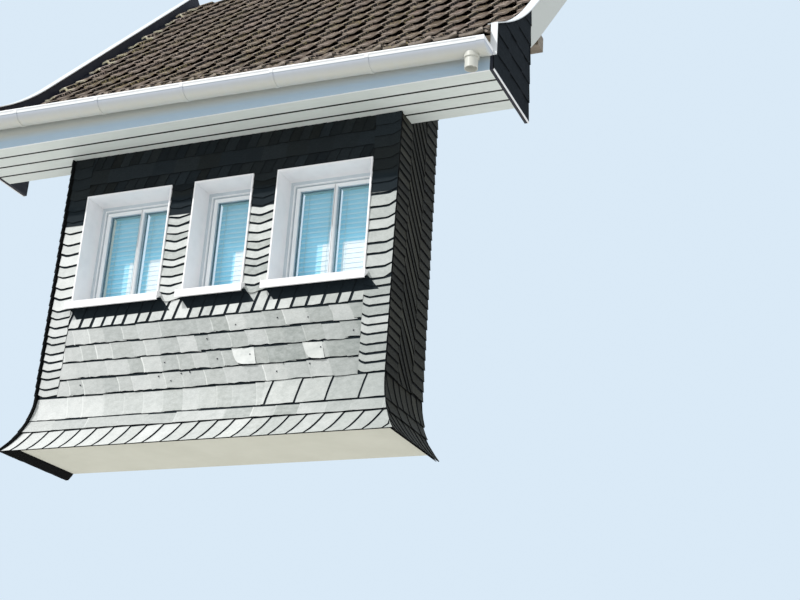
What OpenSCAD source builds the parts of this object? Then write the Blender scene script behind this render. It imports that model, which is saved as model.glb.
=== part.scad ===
/* [Bay] */
// Width of the bay over its slates
bay_w = 3200; // [2900:10:3600]
// How far the slates stand out from the house wall
bay_d = 800; // [700:10:900]
// Height from the white underside up to the soffit
bay_h = 2680; // [2600:10:2900]
// Thickness of the framed front wall
wall_t = 250; // [180:5:280]
// Thickness of each side wall
cheek_t = 160; // [100:5:220]
// Thickness of the slate coat with its laps
coat_t = 30; // [24:1:40]
// How far each course of slates steps out over the one below
slate_step = 8; // [4:1:12]

/* [Slating] */
// Height of the slanted row and of the band over the windows
row_h = 138; // [110:2:150]
// Height of one field course below the windows
field_h = 150; // [120:2:152]
// Number of field courses below the windows
field_n = 4; // [3:1:4]
// Depth from the sills down to the top of the slanted row under them
row_drop = 80; // [70:2:110]
// Rough height of the small courses on the piers
pier_course = 98; // [80:2:140]
// Rough height of the small courses at the corners
strip_course = 88; // [70:2:140]

/* [Floor] */
// Height of the cantilevered joists
joist_h = 160; // [120:5:200]
// Width of each joist
joist_w = 80; // [60:5:120]
// Number of joists under the floor
joist_n = 7; // [4:1:9]
// Thickness of the ledger on the wall and of the front beam
beam_t = 60; // [40:5:100]
// Thickness of the floor boards
deck_t = 22; // [18:1:40]
// Thickness of the white panel under the bay
panel_t = 18; // [12:1:24]

/* [Flared skirt] */
// Height of the flare above the underside
flare_h = 440; // [380:10:480]
// How far the skirt swings out at its foot
flare_out = 165; // [120:5:200]
// How far the last slates hang below the underside
drip = 38; // [20:1:60]
// Width of the blocks that carry the flare
block_w = 50; // [40:5:80]

/* [Windows] */
// Width of each two-light window over its lining
wide_w = 866; // [780:2:900]
// Width of the single-light window over its lining
slim_w = 570; // [480:2:620]
// Height of the window openings
window_h = 1016; // [900:4:1060]
// Depth from the soffit down to the window heads
head_drop = 394; // [360:2:460]
// Width of the slated strips at the two corners
strip_w = 224; // [200:2:240]
// Thickness of the white lining of each opening
lining_t = 14; // [8:1:20]
// How far the lining stands out over the slates
lining_out = 8; // [4:1:14]
// Depth from the slates back to the window frame
reveal_d = 225; // [160:5:230]
// Width of the fixed frame seen from the front
frame_w = 52; // [40:1:70]
// Width of the sash seen from the front
sash_w = 43; // [34:1:60]
// Width of the glazing bar between two lights
bar_w = 40; // [30:1:60]
// Depth of the frame from front to back
frame_d = 65; // [60:1:85]
// Extra height of the frame's foot over the sill
sash_foot = 26; // [0:1:40]
// Width of the glazing bead around each pane
bead_w = 9; // [6:1:14]
// How far the glass lies behind the sash face
bead_back = 10; // [6:1:14]
// How far the sash face lies behind the frame face
sash_back = 12; // [6:1:16]
// Thickness of the sealed glass unit
glass_t = 24; // [16:1:28]

/* [Sills] */
// How far each sill stands out over the slates
sill_out = 60; // [50:2:100]
// Height of the sill's front lip
lip_h = 64; // [40:2:80]
// How far each sill runs past the opening at both ends
sill_past = 25; // [15:1:40]
// Thickness of the sill sheet
sill_t = 4; // [3:1:6]
// Fall of the sill in degrees
sill_fall = 5; // [3:1:8]

/* [Blinds] */
// Spacing of the blind slats
slat_pitch = 44; // [30:2:60]
// Height of the head rail
rail_h = 40; // [30:2:50]
// Depth of the head rail
rail_d = 50; // [40:2:60]
// How far the closed slats lean from edge to edge
slat_lean = 12; // [6:1:18]
// Thickness behind the closed slats
slat_body = 6; // [3:1:10]
// Play between the two blinds of one window
blind_gap = 6; // [4:1:12]
// How far each blind reaches behind the sash
blind_lap = 12; // [6:1:20]

/* [Eaves] */
// Length of the eaves over the closing boards
eaves_w = 5020; // [4800:20:5400]
// How far the soffit stands out in front of the house wall
soffit_front = 1180; // [1120:10:1260]
// How far the soffit stops in front of the house wall
soffit_rear = 583; // [560:1:620]
// Cover width of one soffit board
soffit_board = 160; // [120:5:200]
// Open joint between soffit boards
soffit_gap = 10; // [6:1:14]
// Thickness of soffit boards and of the upright behind them
soffit_t = 20; // [16:1:26]
// Thickness of the fascia
fascia_t = 25; // [20:1:30]
// Thickness of the two closing boards
closing_t = 25; // [20:1:40]
// How far the closing boards stop in front of the house wall
closing_rear = 302; // [240:2:360]
// How far the closing board covers the roof edge from its top line down
verge_h = 250; // [240:5:300]

/* [Gutter] */
// Outer radius of the half-round gutter
gutter_r = 100; // [80:1:104]
// Wall thickness of the gutter
gutter_t = 4; // [3:1:6]
// Radius of the bead along the front lip
bead_r = 9; // [6:1:12]
// Gap between gutter and fascia
gutter_gap = 20; // [16:1:30]
// Depth of the gutter rim below the tile ends, in the middle of the eaves
gutter_drop = 84; // [70:2:110]
// Fall of the gutter in degrees towards its outlet
gutter_fall = 0.85; // [0.2:0.05:1]
// Expansion gap between two lengths of gutter
length_gap = 4; // [2:1:10]
// Distance from the gutter's left end to its first bracket
bracket_in = 678; // [200:2:800]
// Spacing of the gutter brackets
bracket_pitch = 842; // [600:2:1000]
// Width of one bracket
bracket_w = 30; // [20:1:40]
// Thickness of one bracket
bracket_t = 5; // [3:1:8]
// Outer radius of the outlet under the gutter
outlet_r = 52; // [45:1:56]
// Outer radius of the collar that joins outlet and gutter
collar_r = 60; // [57:1:66]
// Height of the collar below the gutter
collar_h = 25; // [15:1:40]
// Length of the outlet below the gutter
outlet_h = 115; // [60:5:160]
// Distance from the gutter's right end to the outlet
outlet_in = 130; // [130:5:300]
// Width of the sleeves round the gutter's ends
sleeve_w = 64; // [40:2:66]

/* [Roof] */
// Pitch of the roof above the bell-cast foot
pitch = 48.2; // [44:0.2:52]
// Pitch of the bell-cast foot at the eaves
foot_pitch = 33; // [30:0.5:36]
// Radius of the curve between foot and roof, on the tiles
bell_r = 3470; // [3000:10:3900]
// Straight length of the foot before the curve
foot_len = 417; // [380:1:440]
// How far the tile ends stand out over the soffit's front edge
tile_out = 120; // [90:5:130]
// Level of the tile ends above the soffit
tile_up = 290; // [270:5:320]
// How far the roof strip runs back over the house wall
strip_back = 2100; // [600:20:2400]
// Gauge of the tile courses
tile_gauge = 295; // [260:5:330]
// Height of a tile course at its lower edge
tile_t = 49; // [40:1:56]
// Cover width of a tile
tile_w = 213; // [190:1:250]
// Width of the roll along a tile's right edge
roll_w = 96; // [70:2:110]
// Height of that roll
roll_h = 26; // [16:1:30]
// Height of the tiling battens
batten_t = 24; // [24:1:40]
// Width of the tiling battens
batten_w = 48; // [40:1:60]
// Thickness of the roof boarding
board_t = 24; // [18:1:30]
// Height of the rafters
rafter_h = 140; // [120:5:180]
// Width of the rafters
rafter_w = 80; // [60:5:100]
// Height of the bearers that hold the soffit boards
bearer_h = 100; // [80:5:120]
// Number of rafters
rafter_n = 8; // [6:1:10]
// Side of the square plate under the rafters
plate_s = 140; // [100:5:160]
// How deep the rafters are cut over the plate
plate_cut = 40; // [20:2:60]
// How far the left verge stands above the tiles
left_rise = 70; // [40:2:90]
// How far the right verge stands above the tiles
right_rise = 34; // [32:1:50]
// Width of the metal caps on the verges
cap_w = 84; // [60:2:90]
// Thickness of the metal caps
cap_t = 8; // [5:1:11]
// How far the caps are folded down over the front edges of the closing boards
cap_fold = 290; // [200:10:320]

/* [Hidden] */
// Levels, from the middle of the ledger's back face
under_z = -joist_h / 2 - panel_t;
deck_z = joist_h / 2 + deck_t;
soffit_z = under_z + bay_h;
head_z = soffit_z - head_drop;
sill_z = head_z - window_h;
flare_z = under_z + flare_h;
// Planes of the walls
half_w = bay_w / 2;
front_y = -bay_d;
wall_y = front_y + coat_t;
inner_y = wall_y + wall_t;
side_x = half_w - coat_t;
inner_x = side_x - cheek_t;
frame_y = front_y + reveal_d;
// Flare: an arc that starts upright
drop_h = flare_h + drip;
flare_a = 2 * atan(flare_out / drop_h);
flare_r = drop_h / sin(flare_a);
arc_n = 8;
// Seat of the sills
fall_k = tan(sill_fall);
apron_z = sill_z + sill_out * fall_k - sill_t;
row_z = sill_z - row_drop;
glass_y = frame_y + sash_back + bead_back;
back_y = frame_y + frame_d;
seat = 0.5;
// Window places: centre and width
pier_w = (bay_w - 2 * strip_w - 2 * wide_w - slim_w) / 2;
wide_x = (slim_w + wide_w) / 2 + pier_w;
// Roof geometry in the Y-Z plane, on the tile surface
eaves_y = -soffit_front - tile_out;
eaves_z = soffit_z + tile_up;
bell_y0 = eaves_y + foot_len * cos(foot_pitch);
bell_z0 = eaves_z + foot_len * sin(foot_pitch);
bell_cy = bell_y0 - bell_r * sin(foot_pitch);
bell_cz = bell_z0 + bell_r * cos(foot_pitch);
bell_len = bell_r * (pitch - foot_pitch) * PI / 180;
bell_y1 = bell_cy + bell_r * sin(pitch);
roof_len = foot_len + bell_len + (strip_back - bell_y1) / cos(pitch);
course_n = floor(roof_len / tile_gauge);
// Rise of a course from its upper to its lower edge
tile_step = tile_t * 0.75;
// Run up the foot at which boarding and battens start
board_s = tile_out * 0.6;
// Depth of the layers below the tile surface
board_top = tile_t + batten_t;
board_low = board_top + board_t;
rafter_low = board_low + rafter_h;
inside_w = eaves_w - 2 * closing_t;
gutter_y = -soffit_front - gutter_gap - gutter_r;
gutter_z = eaves_z - gutter_drop;
bracket_n = floor((eaves_w - bracket_in - outlet_in - collar_r - bracket_w) / bracket_pitch) + 1;
eps = 0.01;

slate_c = "#3b4247";
white_c = "#eceef0";
render_c = "#ebe7dd";
soffit_c = "#cbc8bd";
timber_c = "#c9a877";
tile_c = "#6e5648";
zinc_c = "#dfe3e6";
glass_c = "#9cc7e0";

// Levels of n equal courses from z0 up to z1
function courses(z0, z1, n) = [for (i = [0:n]) z0 + (z1 - z0) * i / n];

// A box given by its lowest and highest corners
module box(low, high) {
    translate(low) cube(high - low);
}

// Extrudes an outline drawn in (Y, Z) along X between x0 and x1
module along_x(x0, x1) {
    translate([x0, 0, 0]) rotate([90, 0, 90]) linear_extrude(height = x1 - x0) children();
}

// Lapped courses in profile: x is the distance out from the boards, y the level
module lapped(levels) {
    n = len(levels) - 1;
    polygon(concat(
        [[0, levels[0]]],
        [for (i = [0:n - 1], j = [0:1]) [coat_t - slate_step * j, levels[i + j]]],
        [[0, levels[n]]]));
}

// Lapped courses on the front between x0 and x1
module front_courses(x0, x1, levels) {
    along_x(x0, x1) translate([wall_y, 0]) mirror([1, 0]) lapped(levels);
}

// Bay floor

module ledger() {
    color(timber_c) box([-side_x, -beam_t, -joist_h / 2], [side_x, 0, joist_h / 2]);
}

module front_beam() {
    color(timber_c) box([-side_x, wall_y, -joist_h / 2], [side_x, wall_y + beam_t, joist_h / 2]);
}

module floor_joists() {
    color(timber_c)
    for (i = [0:joist_n - 1]) {
        x = -side_x + joist_w / 2 + i * (2 * side_x - joist_w) / (joist_n - 1);
        box([x - joist_w / 2, wall_y + beam_t, -joist_h / 2], [x + joist_w / 2, -beam_t, joist_h / 2]);
    }
}

module floor_deck() {
    color(timber_c) box([-side_x, wall_y, joist_h / 2], [side_x, 0, deck_z]);
}

// Reach of the flare's inner face beyond the slate face at level z
function flare_in(z) = flare_r - sqrt(pow(flare_r + coat_t, 2) - pow(flare_z - z, 2));

module underside_panel() {
    o = flare_in(-joist_h / 2);
    color(render_c)
    box([-half_w - o, front_y - o, under_z], [half_w + o, 0, -joist_h / 2]);
}

// Wedge that carries the flare: x is the distance out from the slate face
module block_profile() {
    last = asin((flare_z + joist_h / 2) / (flare_r + coat_t));
    polygon(concat(
        [[-coat_t, -joist_h / 2]],
        [for (i = [arc_n:-1:0]) [flare_r - (flare_r + coat_t) * cos(last * i / arc_n),
            flare_z - (flare_r + coat_t) * sin(last * i / arc_n)]]));
}

module skirt_blocks() {
    color(timber_c) {
        for (i = [0:joist_n - 1]) {
            x = -side_x + block_w / 2 + i * (2 * side_x - block_w) / (joist_n - 1);
            along_x(x - block_w / 2, x + block_w / 2)
                translate([front_y, 0]) mirror([1, 0]) block_profile();
        }
        for (s = [-1, 1], y = [wall_y + block_w, -block_w])
            translate([s * half_w, y, 0]) scale([s, 1, 1])
                rotate([90, 0, 0]) linear_extrude(height = block_w) block_profile();
    }
}

// Bay walls

module wall_apron() {
    color(render_c) box([-side_x, wall_y, deck_z], [side_x, inner_y, apron_z]);
}

module wall_head() {
    color(render_c) box([-side_x, wall_y, head_z], [side_x, inner_y, soffit_z]);
}

module wall_post(x0, x1) {
    color(render_c) box([x0, wall_y, apron_z], [x1, inner_y, head_z]);
}

module post_left() {
    wall_post(-side_x, -wide_x - wide_w / 2);
}

module pier_left() {
    wall_post(-wide_x + wide_w / 2, -slim_w / 2);
}

module pier_right() {
    wall_post(slim_w / 2, wide_x - wide_w / 2);
}

module post_right() {
    wall_post(wide_x + wide_w / 2, side_x);
}

// Points of a line parallel to the tile surface, depth below it, from s0 to s1 up the slope
function roof_point(s, depth) =
    s < foot_len ? [eaves_y + s * cos(foot_pitch) + depth * sin(foot_pitch),
                    eaves_z + s * sin(foot_pitch) - depth * cos(foot_pitch)]
    : s < foot_len + bell_len ? let (a = foot_pitch + (s - foot_len) / bell_r * 180 / PI)
        [bell_cy + (bell_r + depth) * sin(a), bell_cz - (bell_r + depth) * cos(a)]
    : let (t = s - foot_len - bell_len)
        [bell_cy + (bell_r + depth) * sin(pitch) + t * cos(pitch),
         bell_cz - (bell_r + depth) * cos(pitch) + t * sin(pitch)];

function roof_stops(s0, s1) = concat([s0],
    [for (i = [0:arc_n]) let (s = foot_len + bell_len * i / arc_n) if (s > s0 + 1 && s < s1 - 1) s], [s1]);

function roof_line(s0, s1, depth) = [for (s = roof_stops(s0, s1)) roof_point(s, depth)];

function backwards(list) = [for (i = [len(list) - 1:-1:0]) list[i]];

module roof_layer(s0, s1, top, low) {
    polygon(concat(roof_line(s0, s1, top), backwards(roof_line(s0, s1, low))));
}

// Everything under the rafters, as an outline for the walls that run up to them
module under_rafters() {
    polygon(concat(roof_line(0, roof_len, rafter_low), [[strip_back, -bay_h], [eaves_y, -bay_h]]));
}

// Side wall: above the soffit it stands behind the upright
module cheek_wall(x0, x1) {
    upper_y = max(inner_y, -soffit_rear + soffit_t);
    color(render_c) along_x(x0, x1) intersection() {
        union() {
            translate([inner_y, deck_z]) square([-inner_y, soffit_z - deck_z]);
            translate([upper_y, deck_z]) square([-upper_y, 2 * bay_h]);
        }
        under_rafters();
    }
}

module cheek_left() {
    cheek_wall(-side_x, -inner_x);
}

module cheek_right() {
    cheek_wall(inner_x, side_x);
}

module ceiling() {
    color(render_c) box([-inner_x, inner_y, soffit_z - panel_t], [inner_x, 0, soffit_z]);
}

// Slate coat

module slate_front() {
    field_z = flare_z;
    field_top = field_z + field_n * field_h;
    edge_x = half_w - strip_w;
    pier_n = round((head_z - row_z) / pier_course);
    strip_n = round((soffit_z - field_z) / strip_course);
    color(slate_c) {
        for (s = [-1, 1])
            front_courses(min(s * edge_x, s * half_w), max(s * edge_x, s * half_w),
                courses(field_z, soffit_z, strip_n));
        front_courses(-edge_x, edge_x, concat(courses(field_z, field_top, field_n), [row_z]));
        front_courses(-edge_x, edge_x, [head_z, head_z + row_h, head_z + 2 * row_h, soffit_z]);
        for (s = [-1, 1])
            front_courses(s * (slim_w + pier_w) / 2 - pier_w / 2, s * (slim_w + pier_w) / 2 + pier_w / 2,
                courses(row_z, head_z, pier_n));
        for (x = [-1, 0, 1]) {
            w = x == 0 ? slim_w : wide_w;
            front_courses(x * wide_x - w / 2, x * wide_x + w / 2, [row_z, apron_z]);
        }
    }
}

// Slates on one side wall, drawn for the right side
module slate_side() {
    n = round((soffit_z - flare_z) / strip_course);
    color(slate_c) {
        translate([side_x, 0, 0]) rotate([90, 0, 0])
            linear_extrude(height = -wall_y) lapped(courses(flare_z, soffit_z, n));
        along_x(side_x, half_w) intersection() {
            translate([-soffit_rear + soffit_t, soffit_z]) square([soffit_rear - soffit_t, bay_h]);
            under_rafters();
        }
    }
}

module slate_left() {
    mirror([1, 0, 0]) slate_side();
}

module slate_right() {
    slate_side();
}

// Flared skirt in profile: x is the distance out from the slate face
function flare_point(a, depth) = [flare_r - (flare_r + depth) * cos(a), flare_z - (flare_r + depth) * sin(a)];

module skirt_profile() {
    // Lower edges of the large course, the band and the last row, as shares of the arc
    stops = [0, 0.39, 0.6, 1];
    polygon(concat(
        [for (k = [0:2], i = [0:4]) let (t = stops[k] + (stops[k + 1] - stops[k]) * i / 4)
            flare_point(t * flare_a, slate_step * (1 - i / 4))],
        [for (i = [arc_n:-1:0]) flare_point(flare_a * i / arc_n, coat_t)]));
}

// Ground outline between the mitres of one side of the skirt
module mitre_front() {
    a = 2 * flare_out;
    linear_extrude(height = 4 * flare_h, center = true) polygon([
        [-half_w - a, front_y - a], [half_w + a, front_y - a],
        [half_w - a, front_y + a], [-half_w + a, front_y + a]]);
}

module mitre_side() {
    a = 2 * flare_out;
    linear_extrude(height = 4 * flare_h, center = true) polygon([
        [half_w + a, front_y - a], [half_w + a, 0], [half_w - a, 0], [half_w - a, front_y + a]]);
}

module skirt_front() {
    a = half_w + 1.2 * flare_out;
    color(slate_c) intersection() {
        along_x(-a, a) translate([front_y, 0]) mirror([1, 0]) skirt_profile();
        mitre_front();
    }
}

module skirt_side() {
    color(slate_c) intersection() {
        translate([half_w, 0, 0]) rotate([90, 0, 0])
            linear_extrude(height = bay_d + 1.2 * flare_out) skirt_profile();
        mitre_side();
    }
}

module skirt_left() {
    mirror([1, 0, 0]) skirt_side();
}

module skirt_right() {
    skirt_side();
}

// Windows, each drawn about its own middle

module ring(w, low, high, edge, foot, y0, y1) {
    along_y(y0, y1) difference() {
        translate([-w / 2, low]) square([w, high - low]);
        translate([-w / 2 + edge, low + foot]) square([w - 2 * edge, high - low - edge - foot]);
    }
}

// Extrudes an outline drawn in (X, Z) along Y between y0 and y1
module along_y(y0, y1) {
    translate([0, y1, 0]) rotate([90, 0, 0]) linear_extrude(height = y1 - y0) children();
}

// Level of the sill's top at a given Y
function sill_top(y) = sill_z + (y - front_y + sill_out) * fall_k;

module lining(w) {
    out_y = front_y - lining_out;
    color(white_c) difference() {
        ring(w, apron_z, head_z, lining_t, 0, out_y, frame_y);
        along_x(-w, w) polygon([[out_y - 1, sill_z - lip_h], [frame_y + 1, sill_z - lip_h],
            [frame_y + 1, sill_top(frame_y + 1)], [out_y - 1, sill_top(out_y - 1)]]);
    }
}

module window_frame(w, bars) {
    edge = frame_w + sash_w;
    foot = edge + sash_foot;
    color(white_c) {
        difference() {
            union() {
                ring(w, apron_z, head_z, frame_w, frame_w + sash_foot, frame_y, back_y);
                ring(w - 2 * frame_w, apron_z + frame_w + sash_foot, head_z - frame_w, sash_w - bead_w,
                    sash_w - bead_w, frame_y + sash_back, back_y);
                ring(w - 2 * (edge - bead_w), apron_z + foot - bead_w, head_z - edge + bead_w, bead_w, bead_w,
                    glass_y - bead_back / 2, back_y);
                for (i = [0:1:bars - 1])
                    box([-bar_w / 2, frame_y + sash_back, apron_z + foot - bead_w],
                        [bar_w / 2, back_y, head_z - edge + bead_w]);
            }
            pane(w, bead_w / 2);
        }
    }
}

// Sealed unit in its rebate, grown by edge on all four sides
module pane(w, edge) {
    side = frame_w + sash_w - edge;
    box([-w / 2 + side, glass_y, apron_z + side + sash_foot],
        [w / 2 - side, glass_y + glass_t, head_z - side]);
}

module window_glass(w) {
    color(glass_c) pane(w, bead_w / 2);
}

module window_sill(w) {
    front = front_y - sill_out;
    color(white_c) difference() {
        union() {
            along_x(-w / 2 - sill_past, w / 2 + sill_past) polygon([
                [front, sill_z - lip_h], [front, sill_z], [front_y - lining_out, sill_top(front_y - lining_out)],
                [front_y - lining_out, sill_top(front_y - lining_out) - sill_t],
                [front + sill_t, sill_z - sill_t + sill_t * fall_k], [front + sill_t, sill_z - lip_h + sill_t],
                [front + 4 * sill_t, sill_z - lip_h + sill_t], [front + 4 * sill_t, sill_z - lip_h]]);
            along_x(-w / 2, w / 2) polygon([
                [front_y - lining_out, sill_top(front_y - lining_out)], [frame_y, sill_top(frame_y)],
                [frame_y, sill_top(frame_y) - sill_t],
                [front_y - lining_out, sill_top(front_y - lining_out) - sill_t]]);
            for (s = [-1, 1])
                along_x(s * (w / 2 + sill_past) - sill_t / 2, s * (w / 2 + sill_past) + sill_t / 2) polygon([
                    [front, sill_z - lip_h], [front, sill_z + 2 * sill_t],
                    [front_y - eps, sill_top(front_y) + 2 * sill_t], [front_y - eps, sill_top(front_y) - 3 * sill_t]]);
        }
    }
}

// One closed blind with its head rail, for a light of width w
module blind(w) {
    top = head_z - frame_w;
    low = apron_z + frame_w + sash_foot;
    n = floor((top - low - rail_h) / slat_pitch);
    box([-w / 2, back_y, top - rail_h], [w / 2, back_y + rail_d, top]);
    along_x(-w / 2, w / 2) translate([back_y + rail_d / 2, top - rail_h]) polygon(concat(
        [for (i = [0:n - 1], j = [0:1]) [slat_lean * (j - 0.5), -(i + j) * slat_pitch]],
        [for (i = [n:-1:0]) [slat_lean / 2 + slat_body, -i * slat_pitch]]));
}

module blinds() {
    side = frame_w + sash_w - blind_lap;
    light = (wide_w - 2 * side - blind_gap) / 2;
    color(white_c) {
        for (s = [-1, 1], k = [-1, 1])
            translate([s * wide_x + k * (light + blind_gap) / 2, 0, 0]) blind(light);
        blind(slim_w - 2 * side);
    }
}

module lining_left() {
    translate([-wide_x, 0, 0]) lining(wide_w);
}

module lining_middle() {
    lining(slim_w);
}

module lining_right() {
    translate([wide_x, 0, 0]) lining(wide_w);
}

module frame_left() {
    translate([-wide_x, 0, 0]) window_frame(wide_w, 1);
}

module frame_middle() {
    window_frame(slim_w, 0);
}

module frame_right() {
    translate([wide_x, 0, 0]) window_frame(wide_w, 1);
}

module glass_left() {
    translate([-wide_x, 0, 0]) window_glass(wide_w);
}

module glass_middle() {
    window_glass(slim_w);
}

module glass_right() {
    translate([wide_x, 0, 0]) window_glass(wide_w);
}

module sill_left() {
    translate([-wide_x, 0, 0]) window_sill(wide_w);
}

module sill_middle() {
    window_sill(slim_w);
}

module sill_right() {
    translate([wide_x, 0, 0]) window_sill(wide_w);
}

// Eaves

module soffit_boards() {
    depth = soffit_front - soffit_rear;
    n = ceil(depth / soffit_board);
    color(soffit_c)
    for (i = [0:n - 1]) {
        y0 = -soffit_front + i * soffit_board;
        y1 = min(y0 + soffit_board - soffit_gap, -soffit_rear);
        box([-inside_w / 2, y0, soffit_z], [inside_w / 2, y1, soffit_z + soffit_t]);
    }
}

module soffit_upright() {
    color(soffit_c) along_x(-inside_w / 2, inside_w / 2) intersection() {
        translate([-soffit_rear, soffit_z]) square([soffit_t, bay_h]);
        under_rafters();
    }
}

module fascia() {
    low = soffit_z + soffit_t;
    color(soffit_c) along_x(-inside_w / 2, inside_w / 2) difference() {
        translate([-soffit_front, low]) square([fascia_t, tile_up]);
        polygon(concat(roof_line(0, foot_len, board_low), [[-bay_d, soffit_z + bay_h], [eaves_y, soffit_z + bay_h]]));
    }
}

function rafter_x(i) = -inside_w / 2 + rafter_w / 2 + i * (inside_w - rafter_w) / (rafter_n - 1);

module rafters() {
    color(timber_c)
    for (i = [0:rafter_n - 1])
        along_x(rafter_x(i) - rafter_w / 2, rafter_x(i) + rafter_w / 2) difference() {
            roof_layer(0, roof_len, board_low, rafter_low);
            translate([eaves_y - bay_d, soffit_z]) square([bay_d - soffit_front + fascia_t - eaves_y, bay_h]);
            plate_outline();
        }
}

// Plate in the wall head, let into the rafters
module plate_outline() {
    reach = (bell_cy + (bell_r + rafter_low) * sin(pitch));
    level = bell_cz - (bell_r + rafter_low) * cos(pitch) - reach * tan(pitch);
    translate([0, level + plate_cut - plate_s]) square([plate_s, plate_s]);
}

module wall_plate() {
    color(timber_c) along_x(-inside_w / 2, inside_w / 2) plate_outline();
}

module soffit_bearers() {
    low = soffit_z + soffit_t;
    color(timber_c)
    for (i = [0:rafter_n - 1])
        along_x(rafter_x(i) - rafter_w / 2, rafter_x(i) + rafter_w / 2) intersection() {
            translate([-soffit_front + fascia_t, low])
                square([soffit_front - fascia_t - soffit_rear, bearer_h]);
            under_rafters();
        }
}

module roof_boarding() {
    color(timber_c) along_x(-inside_w / 2, inside_w / 2)
        roof_layer(board_s, roof_len, board_top, board_low);
}

module battens() {
    color(timber_c) along_x(-inside_w / 2, inside_w / 2)
    for (i = [0:course_n]) {
        s = i == 0 ? board_s : i * tile_gauge - batten_w;
        polygon([roof_point(s, tile_t), roof_point(s + batten_w, tile_t),
            roof_point(s + batten_w, board_top - seat), roof_point(s, board_top - seat)]);
    }
}

// Lower edge of tile course i, the direction up its face, and its upper end, square below the next edge
function course_low(i) = roof_point(i * tile_gauge, 0);
function course_way(i) = let (run = roof_point((i + 1) * tile_gauge, tile_step) - course_low(i)) run / norm(run);
function course_top(i) = let (low = course_low(i), way = course_way(i))
    low + way * ((course_low(i + 1) - low) * way);

// Rolls of course i; every course is laid a third of a tile further to the left than the one below
module tile_rolls(i) {
    low = course_low(i);
    way = course_way(i);
    length = norm(course_top(i) - low) + tile_t / 10;
    sunk = roll_h / 6;
    lead = sunk / 2;
    spread = roll_w * (1 + sunk / roll_h);
    translate([0, low[0], low[1]]) rotate([atan2(way[1], way[0]), 0, 0]) translate([0, length, 0]) rotate([90, 0, 0])
        linear_extrude(height = length + lead)
        for (x = [inside_w / 2 - roll_w / 10 - (i % 3) * tile_w / 3:-tile_w:roll_w * 1.2 - inside_w / 2])
            translate([x - roll_w / 4, 0])
                polygon([[-spread * 3 / 4, -sunk], [0, roll_h], [spread / 4, -sunk]]);
}

module roof_tiles() {
    color(tile_c) {
        along_x(-inside_w / 2, inside_w / 2) polygon(concat(
            [for (i = [0:course_n - 1]) each [course_low(i), course_top(i)]],
            backwards([for (i = [0:course_n]) roof_point(i * tile_gauge, tile_t)])));
        for (i = [0:course_n - 1]) tile_rolls(i);
    }
}

// Gutter, drawn about its own axis along X and then laid to its fall

module gutter_place() {
    translate([0, gutter_y, gutter_z]) rotate([0, gutter_fall, 0]) children();
}

module half_ring(outer, inner) {
    difference() {
        circle(r = outer, $fn = 48);
        if (inner > 0) circle(r = inner, $fn = 48);
        translate([-outer - 1, 0]) square([2 * outer + 2, outer + 1]);
    }
}

function bracket_x(i) = -eaves_w / 2 + bracket_in + i * bracket_pitch;

// Ends of the gutter lengths, which meet over every second bracket
function gutter_stops() = concat([-eaves_w / 2],
    [for (i = [1:2:bracket_n - 1], s = [-1, 1]) bracket_x(i) + s * length_gap / 2], [eaves_w / 2]);

module gutter() {
    stops = gutter_stops();
    color(white_c) difference() {
        gutter_place() for (i = [0:2:len(stops) - 2])
            along_x(stops[i], stops[i + 1]) {
                half_ring(gutter_r, gutter_r - gutter_t);
                translate([-gutter_r + gutter_t / 2, 0]) circle(r = bead_r, $fn = 24);
            }
        outlet_place() cylinder(r = outlet_r - gutter_t, h = 2 * gutter_r, center = true, $fn = 48);
    }
}

// Middle of the outlet, on the gutter's lowest line
module outlet_place() {
    x = eaves_w / 2 - outlet_in;
    translate([x, gutter_y, gutter_z - x * tan(gutter_fall) - gutter_r]) children();
}

module gutter_outlet() {
    color(white_c) difference() {
        outlet_place() translate([0, 0, -outlet_h]) difference() {
            union() {
                cylinder(r = outlet_r, h = outlet_h + gutter_r, $fn = 48);
                translate([0, 0, outlet_h - collar_h]) cylinder(r = collar_r, h = collar_h + gutter_r, $fn = 48);
            }
            translate([0, 0, -1]) cylinder(r = outlet_r - gutter_t, h = outlet_h + gutter_r + 2, $fn = 48);
        }
        gutter_place() translate([-eaves_w, 0, 0]) rotate([0, 90, 0])
            cylinder(r = gutter_r, h = 2 * eaves_w, $fn = 48);
        gutter_place() translate([0, 0, bay_d]) cube([2 * eaves_w, bay_d, 2 * bay_d], center = true);
    }
}

// Strap under the gutter's body, behind its bead
module strap() {
    difference() {
        half_ring(gutter_r + bracket_t, gutter_r);
        translate([-gutter_r + gutter_t / 2, 0]) circle(r = bead_r + eps, $fn = 24);
    }
}

// End plates with the sleeves that hold them
module gutter_ends() {
    color(white_c) gutter_place() for (s = [-1, 1]) {
        plate_x = s * (eaves_w + gutter_t) / 2;
        sleeve_x = s * (eaves_w - sleeve_w) / 2;
        along_x(plate_x - gutter_t / 2, plate_x + gutter_t / 2) half_ring(gutter_r + bracket_t, 0);
        along_x(sleeve_x - sleeve_w / 2, sleeve_x + sleeve_w / 2) strap();
    }
}

module gutter_brackets() {
    color(white_c) gutter_place()
    for (i = [0:bracket_n - 1]) {
        x = bracket_x(i);
        along_x(x - bracket_w / 2, x + bracket_w / 2) {
            strap();
            translate([gutter_r, -bracket_t]) square([gutter_gap - eps, bracket_t * 2]);
        }
    }
}

// Closing boards and verge caps

// Run of the foot at which a line this far above the tiles stands over the soffit's front edge
function verge_start(rise) = (tile_out + rise * sin(foot_pitch)) / cos(foot_pitch);

// Run at which a line this deep below the tiles stands over the closing boards' rear edge
function rear_run(depth) = foot_len
    + (asin((-closing_rear - bell_cy) / (bell_r + depth)) - foot_pitch) * PI / 180 * bell_r;

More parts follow.
